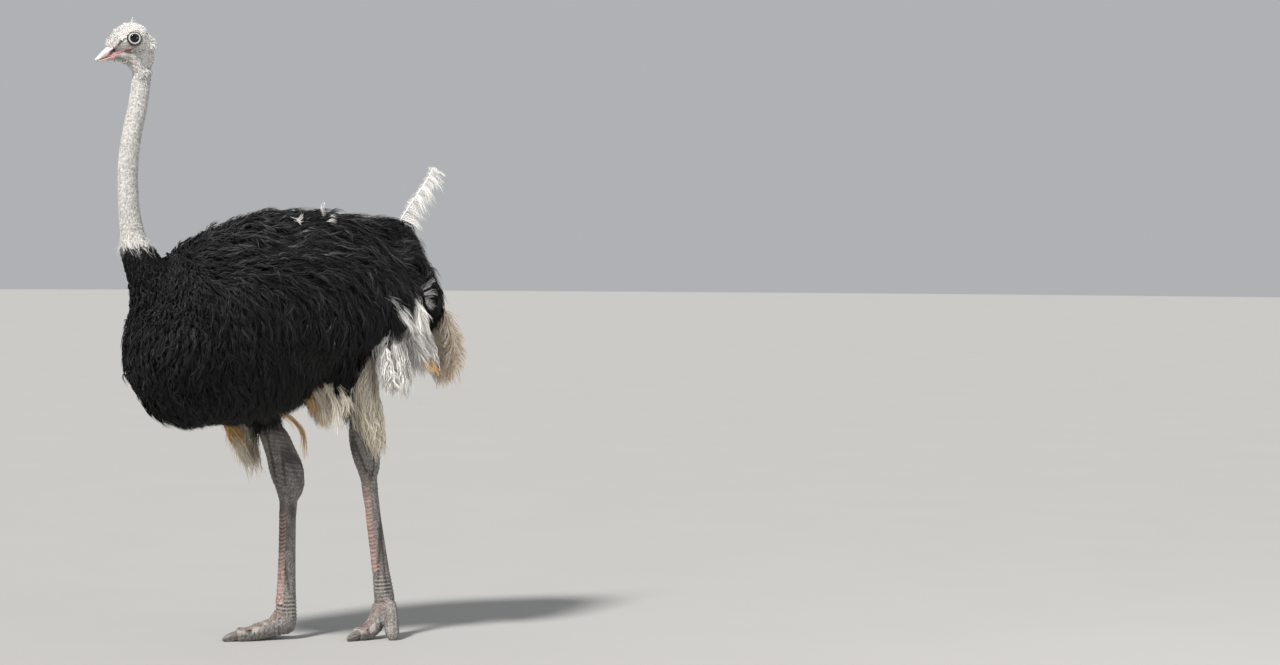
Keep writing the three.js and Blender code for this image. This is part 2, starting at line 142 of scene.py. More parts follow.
class Shade:
    """A material's nodes, laid one after another."""

    def __init__(self, name, roughness, specular=0.5):
        self.material = bpy.data.materials.new(name)
        self.material.use_nodes = True
        self.tree = self.material.node_tree
        self.body = self.tree.nodes["Principled BSDF"]
        self.body.inputs["Roughness"].default_value = roughness
        self.body.inputs["Specular IOR Level"].default_value = specular
        self.place = self.tree.nodes.new("ShaderNodeTexCoord").outputs["Object"]

    def node(self, kind, **inputs):
        """A node with its inputs set to values or linked to other nodes' sockets."""
        made = self.tree.nodes.new(kind)
        for key, value in inputs.items():
            socket = made.inputs[int(key[1:]) if key[0] == "_" else key]
            if isinstance(value, bpy.types.NodeSocket):
                self.tree.links.new(value, socket)
            else:
                socket.default_value = value
        return made

    def mapped(self, scale=(1, 1, 1), turn=(0, 0, 0), shift=(0, 0, 0)):
        """Object coordinates, shifted, turned and scaled."""
        return self.node("ShaderNodeMapping", Vector=self.place, Scale=scale, Rotation=turn,
                         Location=shift).outputs[0]

    def noise(self, scale, detail=4.0, rough=0.55, vector=None, warp=0.0):
        """Cloudy noise, about 0.5 on average."""
        made = self.node("ShaderNodeTexNoise", Vector=vector or self.place, Scale=scale, Detail=detail,
                         Roughness=rough, Distortion=warp)
        return made.outputs[0]

    def cells(self, scale, vector=None, feature="F1"):
        """Distance to the nearest of scattered points, for scales and pores."""
        made = self.node("ShaderNodeTexVoronoi", Vector=vector or self.place, Scale=scale)
        made.feature = feature
        return made.outputs["Distance"]

    def math(self, kind, a, b=0.0):
        """One sum on two values."""
        made = self.node("ShaderNodeMath", _0=a, _1=b)
        made.operation = kind
        return made.outputs[0]

    def spread(self, value, low, high, out_low=0.0, out_high=1.0):
        """A value taken from one range to another, and kept in it."""
        made = self.node("ShaderNodeMapRange", Value=value)
        for key, number in zip(("From Min", "From Max", "To Min", "To Max"), (low, high, out_low, out_high)):
            made.inputs[key].default_value = number
        return made.outputs[0]

    def mix(self, share, a, b):
        """Colour a passing to colour b."""
        made = self.tree.nodes.new("ShaderNodeMix")
        made.data_type = "RGBA"
        for socket, value in ((made.inputs[0], share), (made.inputs[6], a), (made.inputs[7], b)):
            if isinstance(value, bpy.types.NodeSocket):
                self.tree.links.new(value, socket)
            elif isinstance(value, tuple):
                socket.default_value = (*value, 1)
            else:
                socket.default_value = value
        return made.outputs[2]

    def marks(self, name):
        """The three shares stored on the mesh under a name."""
        made = self.tree.nodes.new("ShaderNodeAttribute")
        made.attribute_name = name
        split = self.node("ShaderNodeSeparateColor", Color=made.outputs["Color"])
        return split.outputs[0], split.outputs[1], split.outputs[2]

    def colour(self, value):
        """What the surface's colour is."""
        self.tree.links.new(value, self.body.inputs["Base Color"])

    def bump(self, height, distance, strength=1.0):
        """Fine relief, as high as distance."""
        made = self.node("ShaderNodeBump", Height=height, Distance=distance, Strength=strength)
        self.tree.links.new(made.outputs[0], self.body.inputs["Normal"])

    def roughness(self, value):
        """How dull the surface is, where it changes."""
        self.tree.links.new(value, self.body.inputs["Roughness"])


def plain_material(name, colour, roughness):
    """Smooth paint with the slightest cloudiness."""
    made = Shade(name, roughness)
    darker = tuple(c * 0.94 for c in colour)
    made.colour(made.mix(made.noise(1.5), colour, darker))
    return made.material


# ------------------------------------------------------------------------------------------------ finishes

def feather_material(name, root, tip, other, roughness, specular=0.5, matt_front=None):
    """Barbs that pass from one colour at the shaft to another at the tip, some of them in a third colour.

    Where matt_front is given, the front of the bird is that dull.
    """
    made = Shade(name, roughness, specular)
    tone, along, odd = made.marks("strand")
    base = made.mix(along, root, tip)
    base = made.mix(odd, base, other)
    dark = made.mix(1.0, tuple(c * 0.55 for c in root), tuple(c * 0.55 for c in root))
    base = made.mix(made.spread(tone, 0.0, 1.0, 0.0, 0.75), base, dark)
    made.colour(base)
    if matt_front:
        depth = made.node("ShaderNodeSeparateXYZ", Vector=made.place).outputs[1]
        made.roughness(made.spread(depth, -0.40, 0.0, matt_front, roughness))
    return made.material


def skin_material():
    """Grey wrinkled skin, black under the coat, white on the crown, pink by the mouth, finely scaled on the legs, with
    painted shade in its wrinkle hollows and creases and a painted highlight on its ridges.
    """
    made = Shade("skin", 0.60, 0.35)
    black, pink, pale = made.marks("skin_tone")
    scaly, crease, ridge = made.marks("skin_form")
    cloud = made.noise(38.0, 6.0)
    grey = made.mix(made.spread(cloud, 0.3, 0.7), (0.150, 0.139, 0.130), (0.310, 0.286, 0.266))
    white = made.mix(made.spread(made.noise(90.0, 5.0), 0.3, 0.7), (0.62, 0.59, 0.56), (0.86, 0.84, 0.80))
    rings = made.noise(26.0, 5.0, vector=made.mapped(scale=(1.0, 1.0, 7.0)), warp=0.6)
    base = made.mix(pale, grey, white)
    rose = made.mix(made.spread(made.noise(60.0), 0.35, 0.65), (0.46, 0.23, 0.23), (0.66, 0.43, 0.42))
    base = made.mix(pink, base, rose)
    # painted shade: the skin is darkened in the hollows between its wrinkle rings, where the bump sinks
    hollow = made.math("MULTIPLY", made.spread(rings, 0.38, 0.52, 0.50, 0.0), made.math("SUBTRACT", 1.0, scaly))
    base = made.mix(hollow, base, (0.060, 0.055, 0.052))
    scales = made.cells(175.0, vector=made.mapped(scale=(1.0, 1.0, 0.82)))
    groove = made.math("MULTIPLY", made.spread(scales, 0.38, 0.62, 0.0, 0.62), scaly)
    base = made.mix(groove, base, (0.070, 0.062, 0.058))
    # painted shade darkens the skin's creases where its relief sinks, and a painted highlight lightens its ridges where
    # the relief rises
    base = made.mix(made.spread(crease, 0.10, 1.0, 0.0, 0.80), base, (0.040, 0.035, 0.032))
    base = made.mix(made.spread(ridge, 0.2, 1.0, 0.0, 0.45), base, (0.42, 0.385, 0.36))
    # the black share is partly the real black skin under the coat and partly painted shade at the lores, mouth line,
    # ear and nostrils
    made.colour(made.mix(black, base, (0.005, 0.0047, 0.005)))
    domes = made.math("MULTIPLY", made.math("MULTIPLY", scales, -0.9), scaly)
    folds = made.math("ADD", made.math("MULTIPLY", made.noise(160.0, 6.0), 0.6), domes)
    folds = made.math("ADD", folds, made.math("MULTIPLY", rings, made.math("SUBTRACT", 1.4, scaly)))
    made.bump(folds, 0.0020)
    return made.material


def scale_material(name, dark, light, rim):
    """Horny scales, each a little lighter or darker than the next, with pale worn rims."""
    made = Shade(name, 0.5, 0.45)
    tone, grey, odd = made.marks("strand")
    base = made.mix(tone, dark, light)
    base = made.mix(odd, base, rim)
    base = made.mix(made.math("MULTIPLY", grey, 0.85), base, (0.150, 0.132, 0.120))
    dirt = made.spread(made.noise(70.0, 6.0), 0.45, 0.7, 0.0, 0.5)
    made.colour(made.mix(dirt, base, (0.07, 0.06, 0.05)))
    made.bump(made.noise(600.0, 4.0), 0.0003)
    made.roughness(made.spread(made.noise(120.0), 0.3, 0.7, 0.4, 0.65))
    return made.material


def bill_material():
    """Cream horn, rosy towards the face, paler at the tip."""
    made = Shade("bill_horn", 0.38, 0.5)
    made.body.inputs["Coat Weight"].default_value = 0.15
    pink, dark, pale = made.marks("skin_tone")
    cloud = made.spread(made.noise(120.0, 5.0), 0.3, 0.7)
    base = made.mix(cloud, (0.60, 0.49, 0.44), (0.74, 0.64, 0.58))
    base = made.mix(pink, base, (0.56, 0.31, 0.31))
    base = made.mix(pale, base, (0.86, 0.83, 0.78))
    # dark is painted shade in the nostrils
    made.colour(made.mix(dark, base, (0.012, 0.010, 0.010)))
    made.bump(made.noise(500.0, 5.0), 0.0003)
    return made.material


def claw_material():
    """Grey-beige horn with streaks along it."""
    made = Shade("claw_horn", 0.45, 0.5)
    streaks = made.noise(60.0, 5.0, vector=made.mapped(scale=(6, 1, 3)))
    base = made.mix(made.spread(streaks, 0.35, 0.65), (0.075, 0.068, 0.062), (0.19, 0.175, 0.16))
    made.colour(base)
    made.bump(streaks, 0.0006)
    return made.material


# ------------------------------------------------------------------------------------------------ meshes

def from_arrays(name, points, faces, smooth=True):
    """An object from arrays of points and of faces; faces is a list of (count, corners) arrays of like faces."""
    data = bpy.data.meshes.new(name)
    corners = np.concatenate([f.ravel() for f in faces]).astype(np.int32)
    sizes = np.concatenate([np.full(len(f), f.shape[1]) for f in faces]).astype(np.int32)
    data.vertices.add(len(points))
    data.vertices.foreach_set("co", np.ascontiguousarray(points, np.float32).ravel())
    data.loops.add(len(corners))
    data.loops.foreach_set("vertex_index", corners)
    data.polygons.add(len(sizes))
    data.polygons.foreach_set("loop_start", np.concatenate([[0], np.cumsum(sizes)[:-1]]).astype(np.int32))
    data.polygons.foreach_set("use_smooth", np.full(len(sizes), smooth))
    data.update(calc_edges=True)
    made = bpy.data.objects.new(name, data)
    scene.collection.objects.link(made)
    return made


def store(data, name, shares):
    """Keeps three shares at each point of a mesh, for its material."""
    shares = np.clip(shares, 0, 1)
    layer = data.color_attributes.new(name, "FLOAT_COLOR", "POINT")
    layer.data.foreach_set("color", np.c_[shares, np.ones(len(shares))].astype(np.float32).ravel())


def points_of(data):
    """A mesh's points and their normals, as arrays."""
    points = np.empty(len(data.vertices) * 3, np.float32)
    normals = np.empty(len(data.vertices) * 3, np.float32)
    data.vertices.foreach_get("co", points)
    data.vertex_normals.foreach_get("vector", normals)
    return points.reshape(-1, 3).astype(float), normals.reshape(-1, 3).astype(float)


def move_points(data, points):
    """Puts a mesh's points in new places."""
    data.vertices.foreach_set("co", points.astype(np.float32).ravel())
    data.update()


def smoothed(bm, times, factor=0.5):
    """Evens a mesh out."""
    for _ in range(times):
        bmesh.ops.smooth_vert(bm, verts=bm.verts, factor=factor, use_axis_x=True, use_axis_y=True,
                              use_axis_z=True)
    return bm


def block(nodes, fineness, evening=2):
    """The named solids grown together into one closed surface of small quads."""
    bm = bmesh.new()
    for node in nodes:
        bm.from_mesh(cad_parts[node].data)
    bmesh.ops.remove_doubles(bm, verts=bm.verts, dist=1e-5)
    data = bpy.data.meshes.new("block")
    bm.to_mesh(data)
    bm.free()
    lump = bpy.data.objects.new("block", data)
    scene.collection.objects.link(lump)
    remesh = lump.modifiers.new("remesh", "REMESH")
    remesh.mode = "VOXEL"
    remesh.voxel_size = fineness
    bpy.context.view_layer.update()
    grown = bpy.data.meshes.new_from_object(lump.evaluated_get(bpy.context.evaluated_depsgraph_get()))
    bpy.data.objects.remove(lump)
    bm = bmesh.new()
    bm.from_mesh(grown)
    return smoothed(bm, evening)


def sliced(bm, height, keep_above, front_only=False):
    """Cuts a surface at a height and keeps one side of it; front_only leaves what lies behind the neck alone."""
    def counts(co):
        return not front_only or (co.y < -0.45 and co.z > COLLAR - 0.04)
    faces = [f for f in bm.faces if counts(f.calc_center_median())]
    edges = list({e for f in faces for e in f.edges})
    verts = list({v for f in faces for v in f.verts})
    bmesh.ops.bisect_plane(bm, geom=verts + edges + faces, dist=1e-6, plane_co=(0, 0, height),
                           plane_no=(0, 0, 1))
    spare = []
    for face in bm.faces:
        middle = face.calc_center_median()
        if counts(middle) and (middle.z < height) == keep_above:
            spare.append(face)
    bmesh.ops.delete(bm, geom=spare, context="FACES")
    return bm


def bridged(bm, height, side=0):
    """Joins the two open edges that face each other at a height."""
    rim = [e for e in bm.edges if e.is_boundary and abs(e.verts[0].co.z - height) < 0.012
           and e.verts[0].co.x * side >= 0]
    bmesh.ops.bridge_loops(bm, edges=rim)


# ------------------------------------------------------------------------------------------------ the skin

def on_head(points):
    """Places beside, ahead of and above the middle of the eyes, in the head's own directions."""
    rel = points - np.array(EYE_MIDDLE)
    cos, sin = math.cos(HEAD_TURN), math.sin(HEAD_TURN)
    beside = rel[:, 0] * cos - rel[:, 1] * sin
    ahead = -(rel[:, 0] * sin + rel[:, 1] * cos)
    return beside, ahead, rel[:, 2]


def step(value, low, high):
    """0 below low, 1 above high and a soft rise between."""
    share = np.clip((value - low) / (high - low), 0, 1)
    return share * share * (3 - 2 * share)


def bell(value, width):
    """1 at zero, falling away over a width."""
    return np.exp(-(value / width) ** 2)


def ripple(points, scale, phase=0.0):
    """Smooth waves in all directions, between about -1 and 1."""
    x, y, z = (points * scale).T
    one = np.sin(x * 1.3 + 2.1 * np.sin(y * 0.7 + phase) + phase)
    two = np.sin(y * 1.1 + 1.7 * np.sin(z * 0.9 + 1.3 * phase) + 2 * phase)
    three = np.sin(z * 1.2 + 1.9 * np.sin(x * 0.8 + 0.7 * phase) + 3 * phase)
    return (one + two + three) / 3


MOUTH = np.array([[0.070, -0.0550], [0.048, -0.0510], [0.028, -0.0430], [0.014, -0.0370], [0.002, -0.0335]])


def from_mouth(ahead, up):
    """Height above the line of the mouth, and how far along it towards its corner."""
    line = np.interp(-ahead, -MOUTH[:, 0], MOUTH[:, 1])
    within = step(ahead, MOUTH[-1, 0] - 0.006, MOUTH[-1, 0] + 0.004)
    return up - line, within


def nostril_at(beside, ahead, up):
    """Distance from a nostril's slit, 1 at its rim, and where the side of the bill is."""
    slot = (ahead - 0.0700) * 0.838 - (up + 0.0435) * 0.545
    aside = (ahead - 0.0700) * 0.545 + (up + 0.0435) * 0.838
    return np.hypot(slot / 0.0130, aside / 0.0054), step(np.abs(beside), 0.004, 0.007)


def skin_depth(points):
    """How far the skin lies under the outside of the coat, at each place."""
    x, y, z = points.T
    depth = np.full(len(points), COAT_DEPTH)
    neck = step(z, 1.20, 1.36) * step(-y, 0.38, 0.47)
    depth = depth + (NECK_DEPTH - depth) * neck
    depth = depth + (HEAD_DEPTH - depth) * step(z, 1.97, 2.03)
    beside, ahead, up = on_head(points)
    depth = depth * (1 - step(ahead, 0.052, 0.068) * (1 - step(up, -0.030, -0.012)) * (z > 1.97))
    leg = 1 - step(z, 0.70, 0.82)
    return depth * (1 - leg) + 0.0008 * leg


def head_relief(points):
    """What the face adds: brow, lores, the line of the mouth, ears, cheek folds and the loose throat."""
    beside, ahead, up = on_head(points)
    on_face = step(points[:, 2], 1.965, 1.985)
    outer = step(np.abs(beside), 0.008, 0.018)
    eye = np.hypot(ahead, up)
    brow = 0.0022 * bell(eye - 0.0285, 0.005) * step(up, 0.002, 0.016)
    bag = 0.0012 * bell(eye - 0.029, 0.0035) * step(-up, 0.002, 0.012)
    lores = -0.0022 * bell(np.hypot(ahead - 0.044, up + 0.012), 0.014)
    gap, within = from_mouth(ahead, up)
    mouth = (-0.0024 * bell(gap, 0.0016) + 0.0012 * bell(gap - 0.0042, 0.0026)
             + 0.0010 * bell(gap + 0.0042, 0.0028)) * within
    nostril, flank = nostril_at(beside, ahead, up)
    slit = -0.0040 * np.exp(-nostril ** 4) * flank
    behind = -0.0110 * step(-ahead, 0.018, 0.055) * (1 - 0.5 * step(up, 0.020, 0.050))
    forehead = -0.0120 * step(ahead, 0.050, 0.085) * step(up, -0.032, -0.015)
    ear = -0.0045 * bell(np.hypot(ahead + 0.036, up + 0.016), 0.0050)
    waves = np.sin((up * 1.0 + ahead * 0.35) * 1500 + 3 * ripple(points, 60))
    cheek = 0.0004 * waves * bell(np.hypot(ahead + 0.006, up + 0.046), 0.024)
    crease = np.sin((beside * 0.8 + ahead) * 900 + 4 * ripple(points, 45))
    throat = 0.0007 * crease * step(-up, 0.055, 0.075)
    return on_face * (outer * (brow + bag + lores + mouth + ear) + slit + cheek + throat + behind + forehead)


def leg_relief(points):
    """Long hollows between the tendons, wrinkles over thighs and ankles, and folds across knuckles and toes."""
    x, y, z = points.T
    bare = step(z, 0.48, 0.54) * (1 - step(z, 0.84, 0.90))
    near = np.array([1.0, 1.0, 1.0])
    rough = ripple(points * near, 30, 0.4)
    wave = np.sin(z * 400 + 5.5 * ripple(points, 19) + 2.0 * rough) * (0.4 + 0.6 * np.abs(ripple(points, 13, 2.3)))
    fine = np.sin(z * 640 + 7.0 * ripple(points, 31, 1.7)) * (0.3 + 0.7 * np.abs(ripple(points, 22, 0.9)))
    thigh = (0.0011 * wave + 0.0006 * fine) * bare
    slant = ripple(points * np.array([1, 1, 0.16]) + np.c_[z * 0, z * 0.30, z * 0], 44, 0.6)
    hollows = -0.0034 * bell(slant, 0.13) * step(z, 0.50, 0.60) * (1 - step(z, 0.80, 0.88))
    cord = -0.0026 * bell(ripple(points * np.array([1, 1, 0.05]), 58, 1.9), 0.14)
    cord = cord * step(z, 0.13, 0.20) * (1 - step(z, 0.44, 0.52))
    knuckle = np.zeros(len(z))
    for side, sign in SIDES.items():
        on_leg = (x > 0.06) if sign > 0 else (x <= 0.06)
        folds = np.sin(z * 470 + 2.4 * rough) * bell(z - KNUCKLE[side].z - 0.045, 0.036)
        knuckle = knuckle + 0.0022 * folds * on_leg
    cross = np.sin((y * 0.95 + x * 0.3) * 400 + 5.0 * ripple(points, 26, 2.2)) * (0.4 + 0.6 * np.abs(rough))
    toes = 0.0014 * cross * (1 - step(z, 0.085, 0.12)) * step(z, 0.004, 0.02)
    toe_end = np.zeros(len(z))
    for side in SIDES:
        way = TOE_WAY[side]
        run = (x - KNUCKLE[side].x) * way[0] + (y - KNUCKLE[side].y) * way[1]
        beside = np.abs((x - KNUCKLE[side].x) * way[1] - (y - KNUCKLE[side].y) * way[0])
        reach = TOE_RUN[side]
        top = step(z, 0.018, 0.034) * (beside < 0.05) * (z < 0.12)
        toe_end = toe_end + (0.0062 * bell(run - reach * 0.90, 0.016) + 0.0036 * bell(run - reach * 0.62, 0.016)
                             - 0.0030 * bell(run - reach * 0.76, 0.010) - 0.0034 * bell(run - reach, 0.006)) * top
    return thigh + hollows + cord + knuckle + toes + toe_end


def skin_forms(points, relief):
    """Where the skin is scaly, and how deep or high its folds are."""
    z = points[:, 2]
    scaly = 1 - 0.75 * step(z, 0.62, 0.74)
    scaly = scaly * (z < 1.0)
    legs = 1 - step(z, 0.86, 0.92)
    depth = relief * 1000
    return np.c_[scaly, np.clip(-depth / 2.4, 0, 1) * np.maximum(legs, 0.35 * (z > 1.9)),
                 np.clip(depth / 2.0, 0, 1) * legs]


def skin_shares(points):
    """How black, how pink and how pale the skin is at each place; black also holds painted shade along the lores, the
    mouth line, the ear and the nostrils, and pale is lowered round the lores as painted shade.
    """
    x, y, z = points.T
    edge = COLLAR + 0.006 * ripple(points, 60)
    on_neck = step(z, edge - 0.008, edge + 0.008) * step(-y, 0.44, 0.47)
    black = step(z, 0.83, 0.88) * (1 - on_neck)
    beside, ahead, up = on_head(points)
    gap, within = from_mouth(ahead, up)
    head = step(z, 1.985, 2.005)
    outer = step(np.abs(beside), 0.010, 0.020)
    lips = np.exp(-((gap - 0.0035) / 0.0062) ** 4) * within * head
    bill_foot = step(ahead, 0.050, 0.074) * (1 - step(up, -0.032, -0.022)) * head
    pink = np.clip(lips + 0.85 * bill_foot, 0, 1)
    # painted shade in the slit of the mouth and in the ear opening, where the relief sinks
    dark = bell(gap, 0.0010) * within
    ear = bell(np.hypot(ahead + 0.036, up + 0.016), 0.004)
    # painted shade: a dark streak down the hollow of the lores, from the front of the eye towards the bill
    reach = np.clip(((ahead - 0.031) * 0.021 - (up - 0.004) * 0.027) / (0.021 ** 2 + 0.027 ** 2), 0, 1)
    lores = bell(np.hypot(ahead - 0.031 - 0.021 * reach, up - 0.004 + 0.027 * reach), 0.0034) * outer
    # painted shade in the nostril's slit
    nostril, flank = nostril_at(beside, ahead, up)
    slit = np.exp(-(nostril / 0.95) ** 4) * flank
    black = np.clip(black + head * (dark * 0.8 + ear * 0.5 + lores * 0.85 + slit), 0, 1)
    pale = on_neck * (0.42 + 0.25 * ripple(points, 90, 1.1))
    crown = head * step(up, -0.020, 0.012)
    # the skin round the lores is made less pale, as painted shade in their hollow
    pale = np.clip(pale + 0.55 * crown - 0.30 * head * bell(np.hypot(ahead - 0.04, up + 0.012), 0.018), 0, 1)
    cheek = head * step(np.abs(beside), 0.010, 0.020) * (1 - step(up, -0.045, -0.020)) * step(ahead, -0.050, -0.020)
    pale = pale * (1 - lips) * (1 - 0.5 * cheek) + 0.35 * bill_foot
    return np.c_[black, pink, np.clip(pale, 0, 1)]


def make_skin():
    """One skin over trunk, neck, head, wings, tail and legs, finest on the head."""
    parts = []
    coarse = block(FLESH, 0.0125, 4)
    sliced(coarse, NECK_CUT - 0.003, False, front_only=True)
    parts.append(sliced(coarse, THIGH_CUT + 0.002, True))
    neck = block(["neck_base", "neck_lower", "neck_upper", "head"], 0.0046, 3)
    sliced(neck, NECK_CUT + 0.001, True)
    parts.append(sliced(neck, HEAD_CUT - 0.002, False))
    head = block(["neck_upper", "head"], 0.0020, 4)
    parts.append(sliced(head, HEAD_CUT, True))
    legs = block([n for n in FLESH if n.split("_")[0] in ("thigh", "ankle", "shank", "big", "small")],
                 0.0038, 3)
    parts.append(sliced(legs, THIGH_CUT - 0.001, False))
    whole = bmesh.new()
    for bm in parts:
        piece = bpy.data.meshes.new("part")
        bm.to_mesh(piece)
        bm.free()
        whole.from_mesh(piece)
        bpy.data.meshes.remove(piece)
    bridged(whole, NECK_CUT)
    bridged(whole, HEAD_CUT)
    for side in SIDES.values():
        bridged(whole, THIGH_CUT, side)
    bmesh.ops.recalc_face_normals(whole, faces=whole.faces)
    data = bpy.data.meshes.new("skin")
    whole.to_mesh(data)
    points, normals = points_of(data)
    move_points(data, points - normals * skin_depth(points)[:, None])
    whole.free()
    whole = bmesh.new()
    whole.from_mesh(data)
    under_coat = [v for v in whole.verts if 0.80 < v.co.z < 1.36]
    for _ in range(6):
        bmesh.ops.smooth_vert(whole, verts=under_coat, factor=0.5, use_axis_x=True, use_axis_y=True,
                              use_axis_z=True)
    whole.to_mesh(data)
    whole.free()
    points, normals = points_of(data)
    relief = head_relief(points) + leg_relief(points)
    points += normals * relief[:, None]
    points[:, 2] = np.maximum(points[:, 2], 0.0)
    move_points(data, points)
    data.polygons.foreach_set("use_smooth", np.ones(len(data.polygons), bool))
    store(data, "skin_tone", skin_shares(points))
    store(data, "skin_form", skin_forms(points, relief))
    skin = bpy.data.objects.new("skin", data)
    scene.collection.objects.link(skin)
    data.materials.append(skin_material())
    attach(skin, "root")
    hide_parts(*FLESH)
    return skin


# ------------------------------------------------------------------------------------------------ where feathers root

class Hide:
    """The skin as plumage sees it: places spread over it, its nearest point, and a flat map of it."""

    def __init__(self, skin):
        data = skin.data
        data.calc_loop_triangles()
        corners = np.empty(len(data.loop_triangles) * 3, np.int32)
        data.loop_triangles.foreach_get("vertices", corners)
        self.corners = corners.reshape(-1, 3)
        self.points, self.normals = points_of(data)
        a, b, c = (self.points[self.corners[:, i]] for i in range(3))
        cross = np.cross(b - a, c - a)
        self.area = np.linalg.norm(cross, axis=1) / 2
        self.middle = (a + b + c) / 3
        self.facing = cross / np.maximum(np.linalg.norm(cross, axis=1), 1e-12)[:, None]
        self.tree = BVHTree.FromPolygons(self.points.tolist(), self.corners.tolist(), all_triangles=True)

    def scatter(self, weight, count, rng):
        """Places over the skin, spread by area times weight, with the skin's normal at each."""
        share = np.cumsum(self.area * weight(self.middle, self.facing))
        spots = (np.arange(count) + rng.random(count)) / count * share[-1]
        picked = np.searchsorted(share, spots).clip(0, len(share) - 1)
        one, two = rng.random((2, count))
        flip = one + two > 1
        one[flip], two[flip] = 1 - one[flip], 1 - two[flip]
        bary = np.c_[1 - one - two, one, two]
        tri = self.corners[picked]
        place = (self.points[tri] * bary[:, :, None]).sum(1)
        normal = unit((self.normals[tri] * bary[:, :, None]).sum(1))
        return place, normal

    def nearest(self, places):
        """The skin's nearest points to some places, and the normals there."""
        found = [self.tree.find_nearest(p)[:2] for p in places.tolist()]
        return np.array([f[0] for f in found]), np.array([f[1] for f in found])


def unit(vectors):
    """The same directions, one long."""
    return vectors / np.maximum(np.linalg.norm(vectors, axis=-1, keepdims=True), 1e-9)


def flat_map():
    """An unwrap of the bird's own solids: a function from places to their spots on it."""
    bm = bmesh.new()
    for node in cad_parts.values():
        bm.from_mesh(node.data)
    bmesh.ops.remove_doubles(bm, verts=bm.verts, dist=1e-5)
    bmesh.ops.triangulate(bm, faces=bm.faces)
    data = bpy.data.meshes.new("pattern")
    bm.to_mesh(data)
    bm.free()
    pattern = bpy.data.objects.new("pattern", data)
    scene.collection.objects.link(pattern)
    bpy.context.view_layer.objects.active = pattern
    pattern.select_set(True)
    bpy.ops.object.mode_set(mode="EDIT")
    bpy.ops.mesh.select_all(action="SELECT")
    bpy.ops.uv.smart_project(angle_limit=math.radians(66), island_margin=0.004)
    bpy.ops.object.mode_set(mode="OBJECT")
    count = len(data.polygons)
    spots = np.empty(count * 6, np.float32)
    data.uv_layers.active.uv.foreach_get("vector", spots)
    spots = spots.reshape(count, 3, 2).astype(float)
    corners = np.empty(count * 3, np.int32)
    data.loops.foreach_get("vertex_index", corners)
    corners = corners.reshape(count, 3)
    places, _ = points_of(data)
    tree = BVHTree.FromPolygons(places.tolist(), corners.tolist(), all_triangles=True)
    bpy.data.objects.remove(pattern)
    bpy.data.meshes.remove(data)

    def spot(wanted):
        found = [tree.find_nearest(p) for p in wanted.tolist()]
        index = np.array([f[2] for f in found])
        hit = np.array([f[0] for f in found])
        a, b, c = (places[corners[index, i]] for i in range(3))
        ab, ac, ah = b - a, c - a, hit - a
        d00, d01, d11 = (ab * ab).sum(1), (ab * ac).sum(1), (ac * ac).sum(1)
        d20, d21 = (ah * ab).sum(1), (ah * ac).sum(1)
        under = np.maximum(d00 * d11 - d01 * d01, 1e-14)
        two = (d11 * d20 - d01 * d21) / under
        three = (d00 * d21 - d01 * d20) / under
        bary = np.clip(np.c_[1 - two - three, two, three], 0, 1)
        bary /= bary.sum(1, keepdims=True)
        return (spots[index] * bary[:, :, None]).sum(1)
    return spot


# ------------------------------------------------------------------------------------------------ barbs

PATCH = 0.003               # each tuft's patch on the flat map


def ribbons(name, paths, outward, widths, roll, tones, odd, tuft, tuft_spots, rng, taper=0.55):
    """Thin tapered blades along paths (blades, stations, 3); outward says which way each blade faces.

    tuft gives each blade's tuft, and tuft_spots each tuft's place on the flat map.
    """
    blades, stations, _ = paths.shape
    along = np.linspace(0, 1, stations)
    heading = unit(np.gradient(paths, axis=1))
    across = unit(np.cross(heading, outward))
    away = np.cross(across, heading)
    edge = across * np.cos(roll)[:, None, None] + away * np.sin(roll)[:, None, None]
    half = widths[:, None] / 2 * (1 - along[None]) ** taper * (0.6 + 0.4 * np.minimum(along * 4, 1))[None]
    left = paths - edge * half[..., None]
    right = paths + edge * half[..., None]
    body = np.stack([left[:, :-1], right[:, :-1]], axis=2).reshape(blades, -1, 3)
    points = np.concatenate([body, paths[:, -1:]], axis=1)
    per = points.shape[1]
    start = (np.arange(blades) * per)[:, None]
    quads = np.concatenate([start + np.array([[2 * s, 2 * s + 1, 2 * s + 3, 2 * s + 2]])
                            for s in range(stations - 2)], axis=0)
    tips = start + np.array([[per - 3, per - 2, per - 1]])
    made = from_arrays(name, points.reshape(-1, 3), [quads, tips])
    step_along = np.r_[np.repeat(along[:-1], 2), 1.0]
    shares = np.stack([np.repeat(tones[:, None], per, 1), np.repeat(step_along[None], blades, 0),
                       np.repeat(odd[:, None], per, 1)], axis=2)
    store(made.data, "strand", shares.reshape(-1, 3))
    sides = np.r_[np.tile([-0.5, 0.5], stations - 1), 0.0]
    lane = tuft_spots[tuft] + (rng.random((blades, 2)) - 0.5) * PATCH * 0.6
    spots = np.empty((blades, per, 2))
    spots[..., 0] = lane[:, :1] + sides[None] * PATCH * 0.35
    spots[..., 1] = lane[:, 1:] + (step_along[None] - 0.5) * PATCH * 0.4
    corners = np.concatenate([quads.ravel(), tips.ravel()])
    layer = made.data.uv_layers.new(name="OFBake")
    layer.uv.foreach_set("vector", spots.reshape(-1, 2)[corners].astype(np.float32).ravel())
    return made


def lay_shafts(hide, roots, normals, lie, lengths, height, steps=6):
    """Feather shafts that run over the skin from their roots, along the lie of the coat, rising off it as they go."""
    places, ups = roots, normals
    path = [places + ups * height(0.0)[:, None]]
    facing = [ups]
    for stage in range(1, steps + 1):
        places = places + lie(places, ups) * (lengths / steps)[:, None]
        places, met = hide.nearest(places)
        ups = unit(ups * 0.55 + met * 0.45)
        path.append(places + ups * height(stage / steps)[:, None])
        facing.append(ups)
    return np.stack(path, 1), np.stack(facing, 1)


